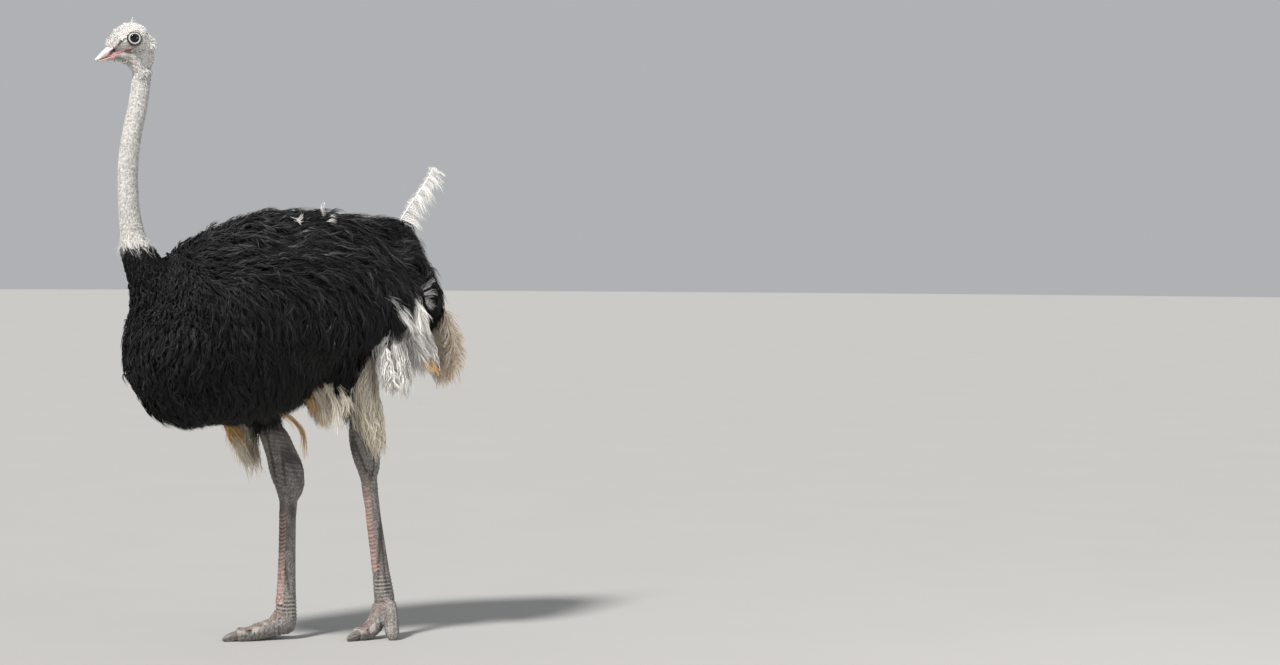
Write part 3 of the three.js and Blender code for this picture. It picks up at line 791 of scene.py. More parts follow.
def barbs(shafts, facing, per_feather, rng, reach=0.012, share=0.5, first=0.0, last=0.7, wave=0.002,
          waves=1.6, lift=0.003, droop=0.0, gather=0.0, curl=0.0, own=0.25, stations=5):
    """The barbs of feathers: each leaves its shaft somewhere, bends out to a side and runs on beside it.

    Barbs of one feather wave together, each out of step with the others by its own small share.
    """
    feathers, marks, _ = shafts.shape
    feather = np.repeat(np.arange(feathers), per_feather)
    count = len(feather)
    along = np.linspace(0, 1, stations)[None]
    leave = first + (last - first) * rng.random(count)
    run = share * (0.7 + 0.6 * rng.random(count))
    spot = (leave[:, None] + run[:, None] * along) * (marks - 1)
    mark = np.clip(np.floor(spot).astype(int), 0, marks - 2)
    part = (spot - mark)[..., None]
    row = feather[:, None]
    spine = shafts[row, mark] * (1 - part) + shafts[row, mark + 1] * part
    heading = unit(shafts[row, mark + 1] - shafts[row, mark])
    up = unit(facing[row, mark])
    across = unit(np.cross(heading, up))
    side = rng.uniform(-1, 1, count)[:, None]
    size = np.broadcast_to(np.asarray(reach), (feathers,))[feather][:, None]
    bend = rng.normal(0, 1, feathers)[feather][:, None] * curl * size
    out = side * size * along ** 0.8 * (1 - gather * along ** 2) + bend * along ** 1.7
    phase = (rng.random(feathers)[feather] + own * rng.normal(0, 1, count))[:, None] * 2 * np.pi
    beat = waves * (0.75 + 0.5 * rng.random(feathers)[feather])[:, None]
    swing = wave * (0.6 + 0.8 * rng.random(count))[:, None]
    beat_at = spot / (marks - 1) / np.maximum(share, 1e-3)
    out = out + swing * np.sin(2 * np.pi * beat * beat_at + phase) * np.minimum(along * 3, 1)
    high = np.broadcast_to(np.asarray(lift), (feathers,))[feather][:, None]
    rise = (rng.uniform(-0.35, 1, count)[:, None] * high * np.sin(along * 2.6)
            + swing * 0.7 * np.cos(2 * np.pi * beat * beat_at + phase) * along)
    path = spine + across * out[..., None] + up * rise[..., None]
    hang = np.broadcast_to(np.asarray(droop), (feathers,))[feather][:, None]
    path[..., 2] -= hang * along ** 2 * (0.4 + 0.6 * np.abs(side))
    return path, up, feather


# ------------------------------------------------------------------------------------------------ the black coat

def lie_of_coat(points, normals):
    """Which way the feathers lie: down the neck and breast, back along the spine, and down over the flanks."""
    x, y, z = points.T
    top = step(z, 1.08, 1.36)
    front = 1 - step(y, -0.50, -0.22)
    rear = step(y, 0.42, 0.62)
    back = (0.30 + 0.95 * top) * (1 - 0.75 * front) * (1 - 0.45 * rear)
    down = (1.15 - 0.70 * top) * (1 + 0.35 * front) + 0.9 * rear
    neck = step(z, 1.16, 1.28) * step(-y, 0.36, 0.44)
    back = back * (1 - 0.7 * neck)
    way = np.c_[0.25 * np.sign(x) * step(z, 1.2, 1.45), back, -down]
    way = unit(way - normals * (way * normals).sum(1, keepdims=True))
    swirl = (0.50 * ripple(points, 12) + 0.38 * ripple(points, 27, 2.0)) * (1 - 0.6 * neck)
    swirl = swirl * (0.45 + 0.75 * top)
    aside = np.cross(normals, way)
    return unit(way * np.cos(swirl)[:, None] + aside * np.sin(swirl)[:, None])


def scattered_lie(lie, rng, jitter):
    """The same lie, with every feather turned a little its own way."""
    turns = {}

    def own(points, normals):
        way = lie(points, normals)
        if len(points) not in turns:
            turns[len(points)] = rng.normal(0, jitter, len(points))
        turn = turns[len(points)]
        return way * np.cos(turn)[:, None] + np.cross(normals, way) * np.sin(turn)[:, None]
    return own


def black_area(middle, facing):
    """1 where black feathers grow."""
    x, y, z = middle.T
    neck = step(z, COLLAR - 0.012, COLLAR - 0.002) * step(-y, 0.44, 0.46)
    low = np.interp(y, [-0.30, -0.16, -0.02], [0.780, 0.810, 0.885])
    legs = step(z, low, low + 0.035)
    inner = step(-facing[:, 2], 0.55, 0.75)
    return np.maximum(legs, inner * step(z, 0.765, 0.785)) * (1 - neck)


def is_neck(middle):
    """1 on the black foot of the neck."""
    return ((middle[:, 2] > 1.12) & (middle[:, 1] < -0.40)).astype(float)


FRONT_END, REAR_START, TOP_FACING = -0.27, 0.20, 0.62

# name: (where it grows, feathers, barbs on each)
COAT_PARTS = {
    "neck_foot_coat": (lambda m, f: is_neck(m), 2200, 8),
    "breast_coat": (lambda m, f: (1 - is_neck(m)) * (m[:, 1] < FRONT_END), 2500, 9),
    "right_flank_coat": (lambda m, f: (m[:, 1] >= FRONT_END) * (m[:, 1] < REAR_START)
                         * (f[:, 2] < TOP_FACING) * (m[:, 0] < 0), 1900, 10),
    "left_flank_coat": (lambda m, f: (m[:, 1] >= FRONT_END) * (m[:, 1] < REAR_START)
                        * (f[:, 2] < TOP_FACING) * (m[:, 0] >= 0), 1900, 10),
    "back_coat": (lambda m, f: (m[:, 1] >= FRONT_END) * (m[:, 1] < REAR_START)
                  * (f[:, 2] >= TOP_FACING), 1500, 12),
    "right_rump_coat": (lambda m, f: (m[:, 1] >= REAR_START) * (m[:, 0] < 0), 1500, 12),
    "left_rump_coat": (lambda m, f: (m[:, 1] >= REAR_START) * (m[:, 0] >= 0), 1500, 12),
}


def make_black_coat(hide, spot_of, black):
    """Loose black feathers over trunk, wings, tail and the foot of the neck."""
    for number, (name, (where, feathers, per_feather)) in enumerate(COAT_PARTS.items()):
        rng = np.random.default_rng(100 + number)
        roots, normals = hide.scatter(lambda m, f: black_area(m, f) * where(m, f), feathers, rng)
        y, z = roots[:, 1], roots[:, 2]
        lengths = np.interp(y, [-0.62, -0.40, -0.10, 0.30, 0.60], [0.050, 0.062, 0.095, 0.125, 0.125])
        lengths = lengths * (1 - 0.38 * is_neck(roots)) * rng.uniform(0.75, 1.25, feathers)
        depth = skin_depth(roots)
        loose = step(z, 1.10, 1.40) * step(y, -0.42, -0.25)
        stray = (rng.random(feathers) < 0.01 + 0.13 * loose) * rng.uniform(0.2, 0.8, feathers)
        thick = depth * (rng.uniform(0.35, 1.0, feathers) + 0.8 * stray) + 0.002
        thick = thick + 0.016 * rng.random(feathers) * (1 - step(z, 0.86, 0.98)) * (1 - step(y, -0.45, -0.30))
        shafts, facing = lay_shafts(hide, roots, normals, scattered_lie(lie_of_coat, rng, 0.26), lengths,
                                    lambda t: thick * (0.12 + 0.88 * math.sin(min(t * 1.9, 1.5707))))
        path, up, feather = barbs(shafts, facing, per_feather, rng, reach=lengths * 0.13, share=0.66,
                                  first=0.0, last=0.66, wave=0.0034, waves=0.9,
                                  lift=0.003 + 0.008 * loose, gather=0.5, curl=1.0, own=0.06,
                                  droop=0.012 * step(-normals[:, 2], 0.2, 0.8)
                                  + 0.040 * step(-normals[:, 2], 0.1, 0.6) * step(y, -0.28, -0.10))
        count = len(path)
        # painted highlight: some strands are lighter grey as if catching the light, more of them on the upper back and
        # shoulders
        grey = rng.random(feathers) ** 3
        grey = grey[feather] * 0.8 + (rng.random(count) < 0.08) * 0.7
        grey = np.clip(grey * (0.45 + 0.75 * loose)[feather], 0, 1)
        coat = ribbons(name, path, up, rng.uniform(0.0018, 0.0036, count), rng.normal(0, 0.55, count),
                       rng.random(count), grey, feather, spot_of(roots), rng)
        coat.data.materials.append(black)
        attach(coat, "root")


# ------------------------------------------------------------------------------------------------ plumes

class Plume:
    """The outside of a solid plume, cut across at any height."""

    def __init__(self, node, downward=True):
        bm = bmesh.new()
        bm.from_mesh(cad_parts[node].data)
        bmesh.ops.remove_doubles(bm, verts=bm.verts, dist=1e-6)
        self.ends = np.array([[v.co[:] for v in e.verts] for e in bm.edges])
        bm.free()
        heights = self.ends[..., 2]
        self.start, self.end = (heights.max(), heights.min()) if downward else (heights.min(), heights.max())

    def across(self, share):
        """Middle and half widths at a share of the way from start to end."""
        level = self.start + (self.end - self.start) * min(max(share, 0.02), 0.985)
        one, two = self.ends[:, 0], self.ends[:, 1]
        crossing = (one[:, 2] - level) * (two[:, 2] - level) < 0
        one, two = one[crossing], two[crossing]
        part = (level - one[:, 2]) / (two[:, 2] - one[:, 2])
        cut = one + (two - one) * part[:, None]
        low, high = cut.min(0), cut.max(0)
        return (low + high) / 2, (high - low)[:2] / 2

    def shafts(self, a, b, first, last, marks=8):
        """Shafts at fixed shares a, b of the half widths, from first to last shares of the height."""
        path = np.empty((len(a), marks, 3))
        facing = np.empty((len(a), marks, 3))
        shares = np.linspace(0, 1, 25)
        cuts = [self.across(s) for s in shares]
        middles = np.array([c[0] for c in cuts])
        halves = np.array([c[1] for c in cuts])
        for mark in range(marks):
            at = first + (last - first) * mark / (marks - 1)
            x = np.interp(at, shares, middles[:, 0]) + a * np.interp(at, shares, halves[:, 0])
            y = np.interp(at, shares, middles[:, 1]) + b * np.interp(at, shares, halves[:, 1])
            path[:, mark] = np.c_[x, y, self.start + (self.end - self.start) * at]
            outward = np.c_[a * np.interp(at, shares, halves[:, 0]), b * np.interp(at, shares, halves[:, 1]),
                            np.full(len(a), 0.004)]
            facing[:, mark] = unit(outward)
        return path, facing


# node: (big feathers, barbs on each, barb length as a share, sideways reach, finish, where shafts end, darkening)
PLUMES = {
    "wing_plumes_front_left": (20, 210, 0.34, 0.030, "white", 0.90, 0.50),
    "wing_plumes_front_right": (20, 210, 0.34, 0.030, "white", 0.90, 0.50),
    "wing_plumes_rear_left": (22, 220, 0.32, 0.032, "white", 0.92, 0.40),
    "wing_plumes_rear_right": (22, 220, 0.32, 0.032, "white", 0.92, 0.40),
    "tail_plumes": (36, 220, 0.26, 0.032, "buff", 0.92, 0.45),
    "thigh_plumes_left": (40, 150, 0.34, 0.024, "cream", 0.86, 0.55),
    "thigh_plumes_right": (30, 130, 0.32, 0.018, "golden", 0.84, 0.60),
    "flank_plumes": (22, 110, 0.42, 0.018, "golden", 0.88, 0.50),
}


def plume_finishes():
    """Feather materials by name."""
    return {
        "white": feather_material("white_barbs", (0.82, 0.81, 0.79), (0.96, 0.94, 0.91),
                                  (0.60, 0.54, 0.47), 0.75, 0.25),
        "cream": feather_material("cream_barbs", (0.78, 0.70, 0.58), (0.96, 0.88, 0.73),
                                  (0.34, 0.28, 0.22), 0.75, 0.25),
        "buff": feather_material("buff_barbs", (0.90, 0.80, 0.68), (0.96, 0.86, 0.72),
                                 (0.50, 0.30, 0.14), 0.75, 0.25),
        "golden": feather_material("golden_barbs", (0.74, 0.66, 0.54), (0.90, 0.83, 0.70),
                                   (0.72, 0.38, 0.06), 0.7, 0.3),
        # the black finish's third colour is a painted highlight, the grey of strands that catch the light
        "black": feather_material("black_barbs", (0.0020, 0.0019, 0.0022), (0.0060, 0.0057, 0.0063),
                                  (0.070, 0.066, 0.070), 0.42, 0.25, 0.70),
    }


def make_plumes(spot_of, finishes):
    """The white, buff and golden plumes that hang under the wings, the tail and the belly."""
    for number, (node, (feathers, per_feather, share, reach, finish, end, dim)) in enumerate(PLUMES.items()):
        rng = np.random.default_rng(200 + number)
        solid = Plume(node)
        angle = rng.random(feathers) * 2 * np.pi
        radius = 0.78 * np.sqrt(rng.random(feathers))
        a, b = radius * np.cos(angle), radius * np.sin(angle)
        last = rng.uniform(end - 0.20, end, feathers) - 0.10 * radius
        first = np.where(rng.random(feathers) < 0.4, 0.25, 0.02)
        shafts = np.empty((feathers, 8, 3))
        facing = np.empty((feathers, 8, 3))
        for i in range(feathers):
            path, out = solid.shafts(a[i:i + 1], b[i:i + 1], first[i], last[i])
            shafts[i], facing[i] = path[0], out[0]
        path, up, feather = barbs(shafts, facing, per_feather, rng, reach=reach, share=share, first=0.0,
                                  last=0.98, wave=0.0048, waves=0.8, lift=0.020, droop=0.016, curl=0.6, own=0.16)
        count = len(path)
        odd = np.clip(rng.normal(0.15, 0.22, count), 0, 1)
        if finish == "golden":
            front = (b[feather] < -0.25) & (path[:, 0, 2] > solid.end + 0.45 * (solid.start - solid.end))
            odd = np.clip(front * 0.9 + (rng.random(feathers) < 0.08)[feather] * 0.6, 0, 1)
        tone = np.clip(rng.random(count) * 0.6 + (rng.random(feathers) ** 2)[feather] * 0.7, 0, 1) * dim
        plume = ribbons(node + "_barbs", path, up, rng.uniform(0.0022, 0.0044, count),
                        rng.normal(0, 0.8, count), tone, odd, feather, spot_of(shafts[:, 0]), rng)
        plume.data.materials.append(finishes[finish])
        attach(plume, "root")
        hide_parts(node)


def tube(path, radii, sides=8):
    """A closed round rod along a path, as points and faces."""
    heading = unit(np.gradient(path, axis=0))
    across = unit(np.cross(heading, np.array([0.3, 0.2, 0.93])))
    over = np.cross(across, heading)
    turn = np.linspace(0, 2 * np.pi, sides, endpoint=False)
    rim = across[:, None] * np.cos(turn)[None, :, None] + over[:, None] * np.sin(turn)[None, :, None]
    points = np.concatenate([(path[:, None] + rim * radii[:, None, None]).reshape(-1, 3), path[[0, -1]]])
    near = np.arange(sides)
    far = (near + 1) % sides
    quads = np.concatenate([np.c_[near + i * sides, near + (i + 1) * sides, far + (i + 1) * sides,
                                  far + i * sides] for i in range(len(path) - 1)])
    last = (len(path) - 1) * sides
    caps = np.concatenate([np.c_[near, far, np.full(sides, len(points) - 2)],
                           np.c_[far + last, near + last, np.full(sides, len(points) - 1)]])
    return points, quads, caps


def rod(name, path, radii, finish, spot_of):
    """A feather's shaft as a thin closed rod."""
    points, quads, caps = tube(path, radii)
    made = from_arrays(name, points, [quads, caps])
    store(made.data, "strand", np.tile([0.0, 0.6, 0.0], (len(points), 1)))
    place = spot_of(path[:1])[0]
    share = np.r_[np.repeat(np.linspace(0, 1, len(path)), 8), 0.0, 1.0]
    side = np.r_[np.tile(np.linspace(-0.5, 0.5, 8), len(path)), 0.0, 0.0]
    spots = place + np.c_[side, share - 0.5] * PATCH * 0.6
    corners = np.concatenate([quads.ravel(), caps.ravel()])
    layer = made.data.uv_layers.new(name="OFBake")
    layer.uv.foreach_set("vector", spots[corners].astype(np.float32).ravel())
    made.data.materials.append(finish)
    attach(made, "root")
    return made


RUMP_SHAFT = np.array([[0.000, 0.420, 1.385], [-0.003, 0.462, 1.440], [-0.006, 0.508, 1.505],
                       [-0.013, 0.566, 1.572], [-0.018, 0.612, 1.626], [-0.021, 0.634, 1.664]])


def make_rump_plume(spot_of, finish):
    """One white feather standing up from the rump: a curved shaft, long barbs hanging behind it, short ones before."""
    rng = np.random.default_rng(300)
    marks = np.linspace(0, 1, 24)
    knots = np.linspace(0, 1, len(RUMP_SHAFT))
    spine = np.c_[[np.interp(marks, knots, RUMP_SHAFT[:, i]) for i in range(3)]].T
    for _ in range(4):
        spine[1:-1] = (spine[:-2] + 2 * spine[1:-1] + spine[2:]) / 4
    shaft = rod("rump_plume_shaft", spine, np.linspace(0.0021, 0.0008, len(marks)), finish, spot_of)
    count = 900
    leave = rng.random(count) * 0.95 + 0.05
    behind = rng.random(count) < 0.68
    root = np.c_[[np.interp(leave, marks, spine[:, i]) for i in range(3)]].T
    ahead = unit(spine[-1] - spine[0])
    back = unit(np.array([0.22, 0.50, -0.84]))
    front = unit(np.array([-0.2, -0.80, 0.58]))
    bunch = np.floor(leave * 26).astype(int)
    lean = rng.normal(0, 0.16, (27, 3))[bunch] + rng.normal(0, 0.09, (count, 3))
    fringe = np.where(behind[:, None], back, front) + lean
    size = np.where(behind, np.interp(leave, [0, 0.25, 0.6, 0.9, 1], [0.066, 0.090, 0.080, 0.050, 0.026]), 0.017)
    size = size * rng.uniform(0.55, 1.1, count) * rng.uniform(0.75, 1.15, 27)[bunch]
    along = np.linspace(0, 1, 6)[None, :, None]
    way = fringe[:, None] * along ** 1.15 + ahead * (along - 0.85 * along ** 2) * 0.55
    path = root[:, None] + way * size[:, None, None]
    swing = np.sin(along[..., 0] * 6.0 + rng.random(27)[bunch][:, None] * 6.28) * along[..., 0] * 0.0035
    path[..., 2] += swing * behind[:, None]
    up = np.broadcast_to(unit(np.cross(ahead, back)), path.shape)
    tuft = np.zeros(count, int)
    plume = ribbons("rump_plume_barbs", path, up, rng.uniform(0.0014, 0.0026, count),
                    rng.normal(0, 0.5, count), rng.random(count) ** 2 * 0.6, rng.random(count) * 0.2, tuft,
                    spot_of(root[:1]), rng)
    plume.data.materials.append(finish)
    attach(plume, "root")
    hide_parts("rump_plume")


def seen(side, height, out):
    """A place given by its distance across the bird's near side, its height, and how far it stands out."""
    return np.array([0.5 * side + 0.866 * out, 0.866 * side - 0.010 - 0.5 * out, height])


def on_coat(hide, marks):
    """Places along a lock that lies on the coat: each mark's last number is its height over the skin."""
    places = []
    level = 0.0
    for side, height, lift in marks:
        hit = hide.tree.ray_cast(Vector(seen(side, height, 1.5)), Vector((-0.866, 0.5, 0.0)))[0]
        if hit is not None and (not places or abs(0.866 * hit.x - 0.5 * (hit.y + 0.010) - level) < 0.12):
            level = 0.866 * hit.x - 0.5 * (hit.y + 0.010)
        places.append(seen(side, height, level + lift))
    return np.array(places)


# Loose locks: finish, on the coat or free, hairs, radius, and marks along it (across, height, out) in mm.
LOCKS = [
    ("golden", False, 90, 7, [(-14, 815, 60), (30, 786, 70), (68, 756, 70), (86, 700, 66), (80, 636, 62)]),
    ("golden", False, 70, 8, [(74, 856, 90), (112, 836, 96), (140, 800, 96), (152, 748, 92)]),
    ("golden", False, 40, 6, [(-40, 820, 80), (0, 806, 84), (30, 778, 84)]),
    ("cream", False, 110, 13, [(110, 900, 110), (140, 850, 122), (160, 792, 118), (170, 740, 112)]),
    ("cream", False, 110, 13, [(150, 910, 120), (186, 850, 134), (200, 790, 130), (205, 735, 122)]),
    ("cream", False, 80, 11, [(196, 900, 130), (226, 846, 140), (236, 790, 136)]),
    ("golden", False, 60, 8, [(494, 990, -20), (512, 958, -16), (534, 936, -20)]),
    ("golden", False, 50, 8, [(520, 985, -30), (538, 950, -26), (556, 925, -30)]),
    ("white", True, 70, 8, [(344, 1212, 6), (384, 1192, 24), (424, 1156, 34), (456, 1112, 36)]),
    ("white", True, 60, 7, [(366, 1176, 6), (404, 1156, 28), (440, 1112, 34), (462, 1078, 32)]),
    ("white", True, 44, 7, [(488, 1222, 24), (506, 1262, 50), (520, 1296, 54)]),
    ("white", True, 44, 7, [(484, 1212, 24), (516, 1238, 52), (546, 1262, 60)]),
    ("white", True, 44, 7, [(484, 1200, 24), (522, 1212, 56), (558, 1214, 64)]),
    ("white", True, 40, 7, [(484, 1190, 24), (520, 1180, 58), (552, 1160, 64)]),
    ("white", True, 44, 8, [(462, 1250, 34), (478, 1200, 56), (486, 1146, 60)]),
    ("white", True, 26, 4, [(150, 1462, 34), (147, 1496, 50), (142, 1532, 46)]),
    ("white", True, 30, 4, [(156, 1462, 34), (174, 1490, 54), (190, 1482, 58), (180, 1462, 60)]),
    ("white", True, 30, 4, [(146, 1458, 34), (172, 1468, 58), (194, 1466, 60)]),
    ("white", True, 22, 3, [(22, 1490, 74), (42, 1470, 90), (60, 1470, 94), (80, 1488, 92)]),
    ("white", True, 22, 3, [(34, 1488, 76), (54, 1468, 90), (76, 1458, 94)]),
    ("black", True, 300, 10, [(330, 1260, 8), (376, 1160, 16), (404, 1092, 20), (408, 1034, 18)]),
    ("black", True, 160, 10, [(420, 1430, 0), (462, 1400, 20), (488, 1364, 26), (490, 1322, 22)]),
    ("black", True, 160, 10, [(440, 1360, 4), (484, 1330, 20), (500, 1296, 26), (496, 1256, 22)]),
    ("white", False, 40, 3, [(530, 1655, -338), (556, 1640, -336), (580, 1604, -330)]),
    ("white", False, 30, 3, [(528, 1640, -338), (560, 1646, -336), (592, 1632, -330)]),
]


def smooth_line(places, count):
    """A rounded line through some places."""
    knots = np.linspace(0, 1, len(places))
    line = np.c_[[np.interp(np.linspace(0, 1, 24), knots, places[:, i]) for i in range(3)]].T
    for _ in range(10):
        line[1:-1] = (line[:-2] + 2 * line[1:-1] + line[2:]) / 4
    marks = np.linspace(0, 1, count)
    return np.c_[[np.interp(marks, np.linspace(0, 1, 24), line[:, i]) for i in range(3)]].T


def make_locks(hide, spot_of, finishes):
    """Loose locks that come out between the black feathers, each a bundle of fine barbs along a curve."""
    gathered = {}
    rng = np.random.default_rng(350)
    for finish, lying, hairs, radius, marks in LOCKS:
        marks = np.array(marks) / 1000
        places = on_coat(hide, marks) if lying else np.array([seen(*mark) for mark in marks])
        line = smooth_line(places, 9)
        heading = unit(np.gradient(line, axis=0))
        across = unit(np.cross(heading, np.array([0.866, -0.5, 0.1])))
        outward = np.cross(across, heading)
        path = np.empty((hairs, 5, 3))
        start = rng.random(hairs) ** 0.8 * 0.62
        run = 0.30 + 0.30 * rng.random(hairs)
        spread = rng.normal(0, 0.8, (hairs, 2)) * radius / 1000
        phase = rng.random(hairs) * 1.5 + rng.random() * 6
        loose = rng.uniform(0.0, 1.0, hairs)
        for station in range(5):
            at = start + run * station / 4
            spine = np.c_[[np.interp(at, np.linspace(0, 1, 9), line[:, i]) for i in range(3)]].T
            side = np.c_[[np.interp(at, np.linspace(0, 1, 9), across[:, i]) for i in range(3)]].T
            lift = np.c_[[np.interp(at, np.linspace(0, 1, 9), outward[:, i]) for i in range(3)]].T
            open_out = 0.6 + 0.5 * at + 1.1 * (station / 4) ** 2 * loose
            swing = np.sin(at * 13 + phase) * 0.0034 * station / 4
            path[:, station] = (spine + side * (spread[:, 0] * open_out + swing)[:, None]
                                + lift * (spread[:, 1] * open_out)[:, None])
        up = np.broadcast_to(outward[4], path.shape)
        gathered.setdefault(finish, []).append((path, up, line[0]))
    for finish, bundles in gathered.items():
        path = np.concatenate([b[0] for b in bundles])
        up = np.concatenate([b[1] for b in bundles])
        lock = np.repeat(np.arange(len(bundles)), [len(b[0]) for b in bundles])
        roots = np.array([b[2] for b in bundles])
        count = len(path)
        odd = np.full(count, 0.85) if finish == "golden" else rng.random(count) * 0.3 * (finish != "black")
        made = ribbons(finish + "_locks", path, up, rng.uniform(0.0014, 0.0026, count),
                       rng.normal(0, 1.0, count), rng.random(count), odd, lock, spot_of(roots), rng)
        made.data.materials.append(finishes[finish])
        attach(made, "root")


# ------------------------------------------------------------------------------------------------ down of neck and head

def make_neck_down(hide, spot_of, finish):
    """Short pale down on the bare neck, a little longer where it meets the black feathers."""
    rng = np.random.default_rng(400)

    def where(middle, facing):
        on_neck = step(middle[:, 2], COLLAR - 0.012, COLLAR + 0.006) * step(-middle[:, 1], 0.44, 0.46)
        return on_neck * (1 - step(middle[:, 2], 1.985, 2.005))

    tufts, hairs = 5600, 6
    roots, normals = hide.scatter(where, tufts, rng)
    collar = 1 - step(roots[:, 2], COLLAR + 0.004, COLLAR + 0.035)
    lengths = (0.0095 + 0.010 * collar) * rng.uniform(0.7, 1.3, tufts)
    lengths = lengths + 0.045 * collar * (rng.random(tufts) < 0.35) * rng.random(tufts)
    way = np.c_[np.zeros(tufts), np.full(tufts, 0.1), np.full(tufts, -1.0)]
    way = unit(way - normals * (way * normals).sum(1, keepdims=True))
    turn = rng.normal(0, 0.50, tufts)
    way = way * np.cos(turn)[:, None] + np.cross(normals, way) * np.sin(turn)[:, None]
    tuft = np.repeat(np.arange(tufts), hairs)
    weave = np.sin(roots[:, 2] * 690 + 2.2 * np.sin(roots[:, 1] * 95 + 5.0 * np.sin(roots[:, 2] * 40))
                   + 1.6 * np.sin(roots[:, 0] * 150))
    dull = (weave > 0.10) * rng.uniform(0.45, 1.0, tufts) * (1 - 0.5 * collar)
    down_hairs("neck_down_coat", roots, normals, way, lengths, tuft, 0.0026 + 0.0042 * collar, 0.22, 0.0016, finish,
               spot_of, rng, tone=np.clip(dull, 0, 1)[tuft], widths=(0.0009, 0.0015))


def down_hairs(name, roots, normals, way, lengths, tuft, rise, splay, gather, finish, spot_of, rng,
               tone=None, widths=(0.0008, 0.0014), broad=1.0, stations=3):
    """Little tufts of short hair that lie along way and rise a little off the skin."""
    count = len(tuft)
    aside = np.cross(normals, way)[tuft]
    along = np.linspace(0, 1, stations)[None, :, None]
    fan = rng.normal(0, splay, (count, 1, 1))
    begin = (aside * rng.normal(0, gather, (count, 1)) + way[tuft] * rng.normal(0, gather, (count, 1)))
    heading = unit(way[tuft][:, None] + aside[:, None] * fan)
    length = (lengths[tuft] * rng.uniform(0.75, 1.2, count))[:, None, None]
    rise = np.broadcast_to(np.asarray(rise), (len(roots),))[tuft][:, None, None]
    up = normals[tuft][:, None]
    path = (roots[tuft] + begin)[:, None] + heading * along * length
    path = path + up * (np.sin(along * 2.2) * rise * rng.uniform(0.5, 1.3, (count, 1, 1)) - 0.0006)
    tone = rng.random(count) if tone is None else np.clip(tone + rng.normal(0, 0.12, count), 0, 1)
    odd = np.clip(rng.normal(0.1, 0.2, count), 0, 1)
    coat = ribbons(name, path, np.broadcast_to(up, path.shape), rng.uniform(*widths, count) * broad,
                   rng.normal(0, 0.4, count), tone, odd, tuft, spot_of(roots), rng)
    coat.data.materials.append(finish)
    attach(coat, "root")
    return coat


def face_cover(points):
    """How thickly white down covers the head: full on the crown and nape, none round the eye, lores and mouth."""
    beside, ahead, up = on_head(points)
    head = step(points[:, 2], 1.985, 2.005)
    eye = step(np.hypot(ahead, up), 0.0245, 0.0285)
    side = step(np.abs(beside), 0.012, 0.022)
    gap, within = from_mouth(ahead, up)
    reach = np.clip(((ahead - 0.031) * 0.021 - (up - 0.004) * 0.027) / (0.021 ** 2 + 0.027 ** 2), 0, 1)
    lores = side * bell(np.hypot(ahead - 0.031 - 0.021 * reach, up - 0.004 + 0.027 * reach), 0.0050)
    lores = np.maximum(lores, side * step(ahead, 0.050, 0.058) * (1 - step(up, -0.034, -0.026)))
    lores = np.maximum(lores, 0.6 * side * step(ahead, 0.004, 0.014)
                       * (1 - step(up + (ahead - 0.025) * 1.30, -0.012, 0.000)))
    below = side * (1 - step(up + 0.010 - 0.35 * (ahead + 0.02), -0.022, -0.004)) * step(ahead, -0.050, -0.028)
    bare = np.clip(lores + 0.88 * below, 0, 1)
    nostril, flank = nostril_at(beside, ahead, up)
    clear = step(nostril, 1.3, 1.9) * flank + (1 - flank)
    return head * eye * (1 - bare) * clear


def make_head_down(hide, spot_of, finish):
    """White down over crown, forehead, nape and chin, standing up in front, with a few long wisps on top."""
    rng = np.random.default_rng(410)
    tufts, hairs = 8800, 5
    roots, normals = hide.scatter(lambda m, f: face_cover(m), tufts, rng)
    beside, ahead, up = on_head(roots)
    forward = np.array([-math.sin(HEAD_TURN), -math.cos(HEAD_TURN), 0.0])
    front = step(ahead, 0.045, 0.085)[:, None]
    way = -forward * (1 - front) + np.array([0, 0, 1.0]) * front * 0.9 + np.array([0, 0, -0.5]) * (1 - front)
    way = way + forward * 0.25 * front
    way = unit(way - normals * (way * normals).sum(1, keepdims=True))
    turn = rng.normal(0, 0.5, tufts)
    way = way * np.cos(turn)[:, None] + np.cross(normals, way) * np.sin(turn)[:, None]
    high = step(up, 0.0, 0.03)
    nape = step(-ahead, 0.030, 0.060)
    lengths = (0.0078 + 0.0030 * high + 0.0040 * nape) * rng.uniform(0.7, 1.4, tufts)
    wisps = (np.hypot(ahead + 0.002, beside) < 0.016) & (up > 0.045) & (rng.random(tufts) < 0.010)
    lengths = lengths + 0.0045 * front[:, 0] * rng.random(tufts) + 0.004 * nape * rng.random(tufts)
    lengths = np.where(wisps, rng.uniform(0.018, 0.030, tufts), lengths * (1 - 0.5 * step(ahead, 0.062, 0.076)
                                                                           * (1 - step(up, -0.034, -0.020))))
    tuft = np.repeat(np.arange(tufts), hairs)
    cheek = step(np.abs(beside), 0.010, 0.020) * (1 - step(up, -0.045, -0.020)) * step(ahead, -0.050, -0.020)
    weave = np.sin(roots[:, 2] * 900 + 2.0 * np.sin(roots[:, 1] * 110))
    shade = cheek * (0.50 + 0.50 * (weave > 0)) * rng.uniform(0.6, 1.0, tufts)
    spiky = rng.random(tufts) < 0.10
    rise = (0.0020 + 0.0020 * high + (0.0014 + 0.0120 * spiky) * front[:, 0] + (0.0012 + 0.0080 * spiky) * nape
            + 0.0012 * spiky * high)
    rise = np.where(wisps, 0.022, rise * rng.uniform(0.6, 1.4, tufts))
    down_hairs("head_down_coat", roots, normals, way, lengths, tuft, rise, 0.35, 0.0020, finish, spot_of, rng,
               tone=np.clip(rng.normal(0.04, 0.12, tufts) + shade, 0, 1)[tuft], widths=(0.0009, 0.0017),
               broad=1 + 0.5 * (spiky & ~wisps)[tuft])


# ------------------------------------------------------------------------------------------------ eyes and lids

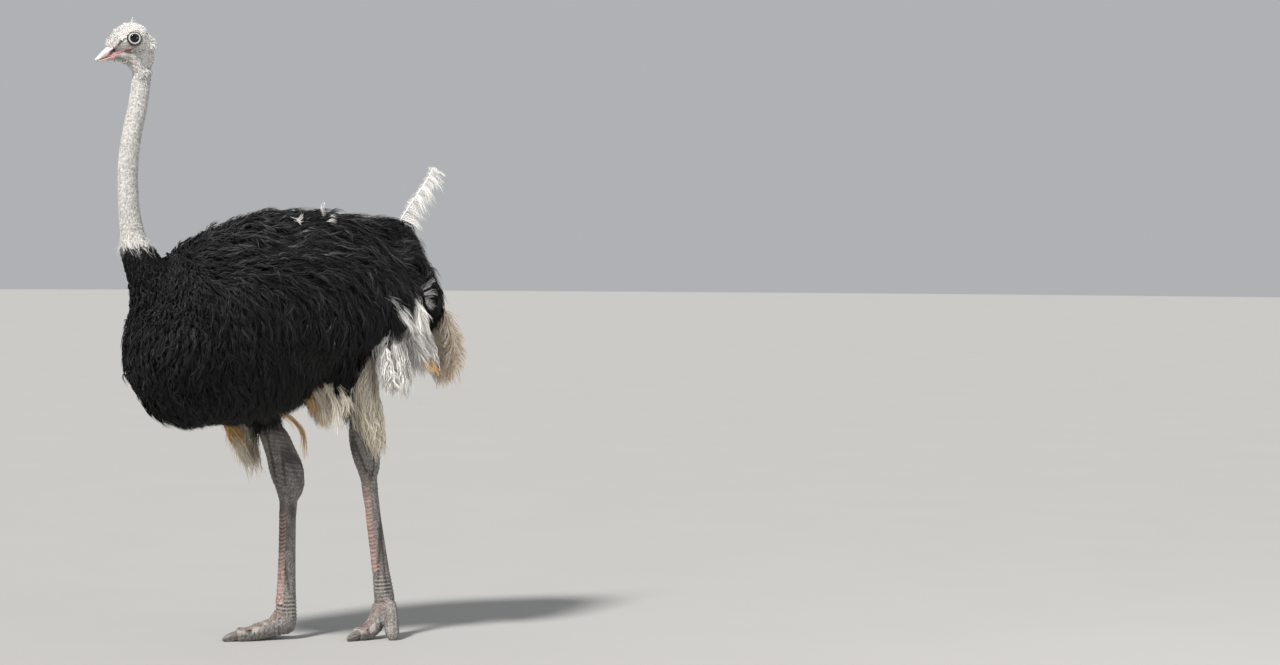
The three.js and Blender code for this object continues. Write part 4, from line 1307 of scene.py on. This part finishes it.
def eye_material(side):
    """A glossy eye: black pupil and a dark brown iris with fine rays."""
    made = Shade("eye_" + side, 0.06, 0.30)
    made.body.inputs["Coat Weight"].default_value = 0.35
    made.body.inputs["Coat Roughness"].default_value = 0.02
    marks = made.tree.nodes.new("ShaderNodeAttribute")
    marks.attribute_name = "ring"
    split = made.node("ShaderNodeSeparateColor", Color=marks.outputs["Color"])
    out, turn = split.outputs[0], split.outputs[1]
    rays = made.noise(9.0, 4.0, vector=made.node("ShaderNodeCombineXYZ", X=made.math("MULTIPLY", turn, 9.0),
                                                 Y=made.math("MULTIPLY", out, 1.2), Z=0.0).outputs[0])
    iris = made.mix(made.spread(rays, 0.3, 0.7), (0.005, 0.003, 0.002), (0.016, 0.009, 0.006))
    iris = made.mix(made.spread(out, 0.80, 0.88), iris, (0.005, 0.004, 0.003))
    made.colour(made.mix(made.spread(out, 0.70, 0.74), (0.001, 0.001, 0.001), iris))
    return made.material


def ball_on_eye(side, radius, slices, rings, name):
    """A sphere about an eye's middle with its pole looking out to that side, as a bmesh."""
    bm = bmesh.new()
    bmesh.ops.create_uvsphere(bm, u_segments=slices, v_segments=rings, radius=radius)
    look = Matrix.Rotation(SIDES[side] * math.pi / 2, 4, "Y")
    head = Matrix.Translation(EYE_MIDDLE) @ Matrix.Rotation(-HEAD_TURN, 4, "Z")
    place = head @ Matrix.Translation((SIDES[side] * EYE_SPREAD, 0, 0)) @ look
    return bm, place


def make_eyes():
    """Smooth eyeballs, each with a low swelling over the iris."""
    for side in SIDES:
        bm, place = ball_on_eye(side, EYE_RADIUS - 0.0006, 72, 48, "eye")
        rings = []
        for vert in bm.verts:
            off_axis = math.atan2(math.hypot(vert.co.x, vert.co.y), vert.co.z)
            vert.co *= 1 + 0.022 * math.exp(-(off_axis / 0.62) ** 4)
        for vert in bm.verts:
            rings.append((math.hypot(vert.co.x, vert.co.y) / 0.0185 if vert.co.z > 0 else 1.0,
                          math.atan2(vert.co.y, vert.co.x) / (2 * math.pi) + 0.5, 0.0))
        bmesh.ops.transform(bm, matrix=place, verts=bm.verts)
        data = bpy.data.meshes.new("eyeball_" + side)
        bm.to_mesh(data)
        bm.free()
        store(data, "ring", np.array(rings))
        data.polygons.foreach_set("use_smooth", np.ones(len(data.polygons), bool))
        eye = bpy.data.objects.new("eyeball_" + side, data)
        scene.collection.objects.link(eye)
        data.materials.append(eye_material(side))
        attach(eye, "root")
        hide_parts("eye_" + side)


LID_RINGS = [(0.0150, 0.0184, 1.0), (0.0153, 0.0197, 1.0), (0.0163, 0.0207, 1.0), (0.0178, 0.0208, 1.0),
             (0.0193, 0.0200, 1.0), (0.0203, 0.0190, 0.8), (0.0208, 0.0184, 0.1), (0.0215, 0.0187, 0.0),
             (0.0225, 0.0184, 0.0), (0.0235, 0.0170, 0.0), (0.0243, 0.0146, 0.05), (0.0246, 0.0118, 0.3),
             (0.0215, 0.0110, 0.3), (0.0175, 0.0140, 1.0)]


def lid_material():
    """Pale wrinkled lids with a dark outer rim."""
    made = Shade("lid_skin", 0.45, 0.45)
    pale, turn, spare = made.marks("lid")
    folds = made.noise(300.0, 5.0)
    light = made.mix(made.spread(folds, 0.35, 0.65), (0.40, 0.38, 0.37), (0.66, 0.64, 0.62))
    dark = made.mix(made.spread(folds, 0.35, 0.65), (0.008, 0.007, 0.007), (0.030, 0.027, 0.026))
    made.colour(made.mix(pale, dark, light))
    made.bump(folds, 0.0007)
    return made.material


def make_lids(spot_of):
    """Lids: a pale rolled ring round each eye with a dark rim, fuller above, and short black lashes."""
    finish = lid_material()
    lash_finish = feather_material("lashes", (0.006, 0.005, 0.005), (0.010, 0.009, 0.009), (0.02, 0.018, 0.018), 0.5)
    steps = 96
    for number, (side, sign) in enumerate(SIDES.items()):
        rng = np.random.default_rng(500 + number)
        look = Matrix.Rotation(sign * math.pi / 2, 4, "Y")
        head = Matrix.Translation(EYE_MIDDLE) @ Matrix.Rotation(-HEAD_TURN, 4, "Z")
        place = np.array(head @ Matrix.Translation((sign * EYE_SPREAD, 0, 0)) @ look)
        turn = np.arange(steps) / steps * 2 * np.pi
        ring, out, pale = np.array(LID_RINGS).T

        def on_lid(turn, ring, out):
            level = out + 0 * ring * turn
            local = np.stack([ring * np.cos(turn), ring * np.sin(turn), level], axis=-1)
            above = (local @ np.array(look)[:3, :3].T)[..., 2] / 0.02
            local[..., 0] *= 1 - 0.10 * np.clip(above, 0, 1) ** 2
            local[..., 1] *= 1 + 0.03 * (1 - np.abs(above))
            local[..., 2] += 0.0012 * np.clip(above, 0, 1.3)
            return local @ place[:3, :3].T + place[:3, 3]

        points = on_lid(turn[:, None], ring[None], out[None])
        rows = len(ring)
        here = np.arange(steps)[:, None] * rows + np.arange(rows)[None]
        after = np.roll(here, -1, axis=0)
        quads = np.stack([here, after, np.roll(after, -1, axis=1), np.roll(here, -1, axis=1)], axis=-1)
        made = from_arrays("lids_" + side, points.reshape(-1, 3), [quads.reshape(-1, 4)])
        store(made.data, "lid", np.c_[np.tile(pale, steps), np.repeat(turn / 7, rows), np.zeros(steps * rows)])
        bm = bmesh.new()
        bm.from_mesh(made.data)
        bmesh.ops.recalc_face_normals(bm, faces=bm.faces)
        bm.to_mesh(made.data)
        bm.free()
        made.data.materials.append(finish)
        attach(made, "root")
        count = 260
        up_turn = 0.0 if sign > 0 else np.pi
        around = up_turn + rng.normal(0, 0.85, count).clip(-1.9, 1.9)
        root = on_lid(around, np.full(count, 0.0226), np.full(count, 0.0178))
        further = on_lid(around, np.full(count, 0.0300), np.full(count, 0.0210))
        heading = unit(further - root) + rng.normal(0, 0.12, (count, 3))
        along = np.linspace(0, 1, 4)[None, :, None]
        length = rng.uniform(0.004, 0.0085, count)[:, None, None]
        path = root[:, None] + heading[:, None] * along * length
        path[..., 2] += (along[..., 0] ** 2) * 0.0015
        facing = np.broadcast_to(place[:3, 2], path.shape)
        lashes = ribbons("lashes_" + side, path, facing, np.full(count, 0.0005), rng.normal(0, 0.5, count),
                         rng.random(count), np.zeros(count), np.zeros(count, int), spot_of(root[:1]), rng)
        lashes.data.materials.append(lash_finish)
        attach(lashes, "root")


# ------------------------------------------------------------------------------------------------ bill

def make_bill():
    """The two halves of the bill, smooth, with nostrils, a ridge on top and a nail at the tip."""
    horn = bill_material()
    for node in ("upper_bill", "lower_bill"):
        bm = block([node], 0.0012, 4)
        data = bpy.data.meshes.new(node + "_horn")
        bm.to_mesh(data)
        bm.free()
        points, normals = points_of(data)
        beside, ahead, up = on_head(points)
        points[:, 2] -= 0.0110 * np.clip((ahead - 0.068) / 0.066, 0, 1) ** 1.3
        line = np.interp(ahead, [0.06, 0.09, 0.128], [-0.052, -0.058, -0.066])
        near = step(ahead, 0.070, 0.088) * (1 - 0.4 * step(ahead, 0.110, 0.130))
        if node == "upper_bill":
            points[:, 2] -= 0.0042 * near * (1 - step(up - line, 0.004, 0.014))
        else:
            points[:, 2] -= near * (0.4 * (up - line) + 0.0030)
        nostril, outer = nostril_at(beside, ahead, up)
        upper = node == "upper_bill"
        if upper:
            points -= normals * (np.exp(-nostril ** 4) * outer * 0.0042)[:, None]
            points += normals * (bell(nostril - 1.5, 0.5) * outer * 0.0007)[:, None]
            nail = bell(ahead - 0.112, 0.0016) * 0.0007
            points -= normals * nail[:, None]
        rim = bell(up - line, 0.004)
        pink = np.clip(rim * 0.8 + 0.85 * step(-ahead, -0.100, -0.072) + (0.35 if not upper else 0.0), 0, 1)
        pink = pink * (1 - 0.75 * step(up + 0.26 * (ahead - 0.08), -0.036, -0.028))
        # painted shade in the nostril's slit
        dark = np.exp(-(nostril / 0.95) ** 4) * outer * upper
        tip = step(ahead, 0.108, 0.114)
        pale = (0.75 * tip + 0.80 * step(up + 0.26 * (ahead - 0.08), -0.046, -0.034)) * upper
        data.vertices.foreach_set("co", points.astype(np.float32).ravel())
        data.update()
        store(data, "skin_tone", np.c_[pink * (1 - 0.6 * tip), dark, pale])
        data.polygons.foreach_set("use_smooth", np.ones(len(data.polygons), bool))
        bill = bpy.data.objects.new(node + "_horn", data)
        scene.collection.objects.link(bill)
        data.materials.append(horn)
        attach(bill, "root")
        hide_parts(node)


# ------------------------------------------------------------------------------------------------ scutes

def shield(hide, spots, spin, outward, rows, columns, height):
    """One horny plate laid on the skin: a grid of places, raised into a low dome with a proud lower edge."""
    found, met = hide.nearest(spots.reshape(-1, 3))
    down = np.repeat(np.linspace(0, 1, rows), columns)
    across = np.tile(np.linspace(-1, 1, columns), rows)
    edge = (1 - across ** 6) * np.minimum(down * 5, 1) * np.minimum((1 - down) * 7, 1)
    dome = edge * (0.45 + 0.55 * down) * height - 0.0008 * (1 - edge)
    return found + met * dome[:, None], down, across


def make_scutes(hide, spot_of):
    """Broad pink plates down the front of each shank and smaller grey ones over the toes."""
    finish = scale_material("scutes", (0.11, 0.062, 0.053), (0.33, 0.195, 0.172), (0.47, 0.375, 0.325))
    rows, columns = 6, 13
    for number, side in enumerate(SIDES):
        rng = np.random.default_rng(600 + number)
        foot, joint = np.array(KNUCKLE[side]), np.array(ANKLE[side])
        front = np.array([math.sin(LEG_TURN[side]), -math.cos(LEG_TURN[side]), 0.0])
        aside = np.array([-front[1], front[0], 0.0])
        points, faces, shares, roots, plates = [], [], [], [], []
        run = np.linalg.norm(joint - foot)
        plan = []
        pitch = 0.0135
        for plate in range(int(run * 0.68 / pitch)):
            at = (0.12 if side == "right" else 0.20) + plate * pitch / run
            plan.append((foot + (joint - foot) * at, pitch, (0.56 if side == "right" else 0.72) + 0.32 * at, front, aside, (joint - foot) / run,
                         0.0034 - 0.0018 * at, at))
        toe_turn = {"right": math.radians(-14), "left": math.radians(12)}[side]
        toe_front = np.array([math.sin(toe_turn), -math.cos(toe_turn), 0.0])
        toe_aside = np.array([-toe_front[1], toe_front[0], 0.0])
        for plate in range(17):
            share = 0.16 + plate * 0.055
            spot = np.array([foot[0], foot[1], 0.0]) + toe_front * (0.19 if side == "right" else 0.14) * share
            spot[2] = foot[2] * (1 - share) * 0.55 + 0.015
            plan.append((spot, 0.0098, 0.80, np.array([0, 0, 1.0]), toe_aside, toe_front, 0.0022, 2.0))
        for middle, tall, wide, facing, sideways, rise, height, at in plan:
            lean = rng.normal(0, 0.05)
            turns = np.linspace(-wide, wide, columns) + rng.normal(0, 0.04)
            grid = np.empty((rows, columns, 3))
            for row in range(rows):
                drop = (row / (rows - 1) - 0.5) * tall * 1.22
                way = facing * np.cos(turns)[:, None] + sideways * np.sin(turns)[:, None]
                sag = tall * 0.70 * (turns / wide) ** 2 + lean * tall * turns
                grid[row] = middle + way * 0.055 - rise * (drop - sag)[:, None] * (1 if at < 1.5 else -1)
            laid, down, across = shield(hide, grid, None, None, rows, columns, height)
            out = np.cross(laid[columns] - laid[0], laid[1] - laid[0])
            start = len(points) * rows * columns
            here = (np.arange(rows - 1)[:, None] * columns + np.arange(columns - 1)[None]).ravel() + start
            quads = np.c_[here, here + 1, here + 1 + columns, here + columns]
            faces.append(quads if out @ (laid[0] - middle) < 0 else quads[:, ::-1])
            points.append(laid)
            grey = step(at, 0.66, 0.84) * 0.9 if at < 1.5 else 0.8
            tone = np.clip(0.35 + rng.random() * 0.6 + rng.normal(0, 0.05, rows * columns), 0, 1)
            rim = np.clip(step(down, 0.45, 0.80) * (1 - step(down, 0.85, 1.0)), 0, 1)
            tone = tone * (1 - bell(down, 0.16)) * (1 - bell(down - 1, 0.12))
            shares.append(np.c_[tone, np.full(rows * columns, grey), rim])
            roots.append(laid[0])
            plates.append(np.c_[across * 0.4, down - 0.5])
        solid = np.concatenate(points)
        quads = np.concatenate(faces)
        made = from_arrays("scutes_" + side, solid, [quads])
        store(made.data, "strand", np.concatenate(shares))
        spots = np.repeat(spot_of(np.array(roots)), rows * columns, axis=0) + np.concatenate(plates) * PATCH * 0.8
        layer = made.data.uv_layers.new(name="OFBake")
        layer.uv.foreach_set("vector", spots[quads.ravel()].astype(np.float32).ravel())
        made.data.materials.append(finish)
        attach(made, "root")


# ------------------------------------------------------------------------------------------------ claws

def make_claws():
    """Blunt toe claws with rounded edges."""
    horn = claw_material()
    for side in SIDES:
        node = "claw_" + side
        bm = block([node], 0.0016, 3)
        data = bpy.data.meshes.new(node + "_horn")
        bm.to_mesh(data)
        bm.free()
        points, _ = points_of(data)
        points[:, 2] = np.maximum(points[:, 2], 0)
        move_points(data, points)
        data.polygons.foreach_set("use_smooth", np.ones(len(data.polygons), bool))
        claw = bpy.data.objects.new(node + "_horn", data)
        scene.collection.objects.link(claw)
        data.materials.append(horn)
        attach(claw, "root")
        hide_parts(node)


# ------------------------------------------------------------------------------------------------ the whole bird

set_camera()
set_studio()
skin = make_skin()
hide = Hide(skin)
spot_of = flat_map()
finishes = plume_finishes()
finishes["down"] = feather_material("white_down", (0.78, 0.76, 0.73), (0.98, 0.97, 0.94),
                                    (0.50, 0.46, 0.42), 0.8, 0.2)
make_black_coat(hide, spot_of, finishes["black"])
make_plumes(spot_of, finishes)
make_rump_plume(spot_of, finishes["white"])
make_locks(hide, spot_of, finishes)
make_neck_down(hide, spot_of, finishes["down"])
make_head_down(hide, spot_of, finishes["down"])
make_eyes()
make_lids(spot_of)
make_bill()
make_scutes(hide, spot_of)
make_claws()
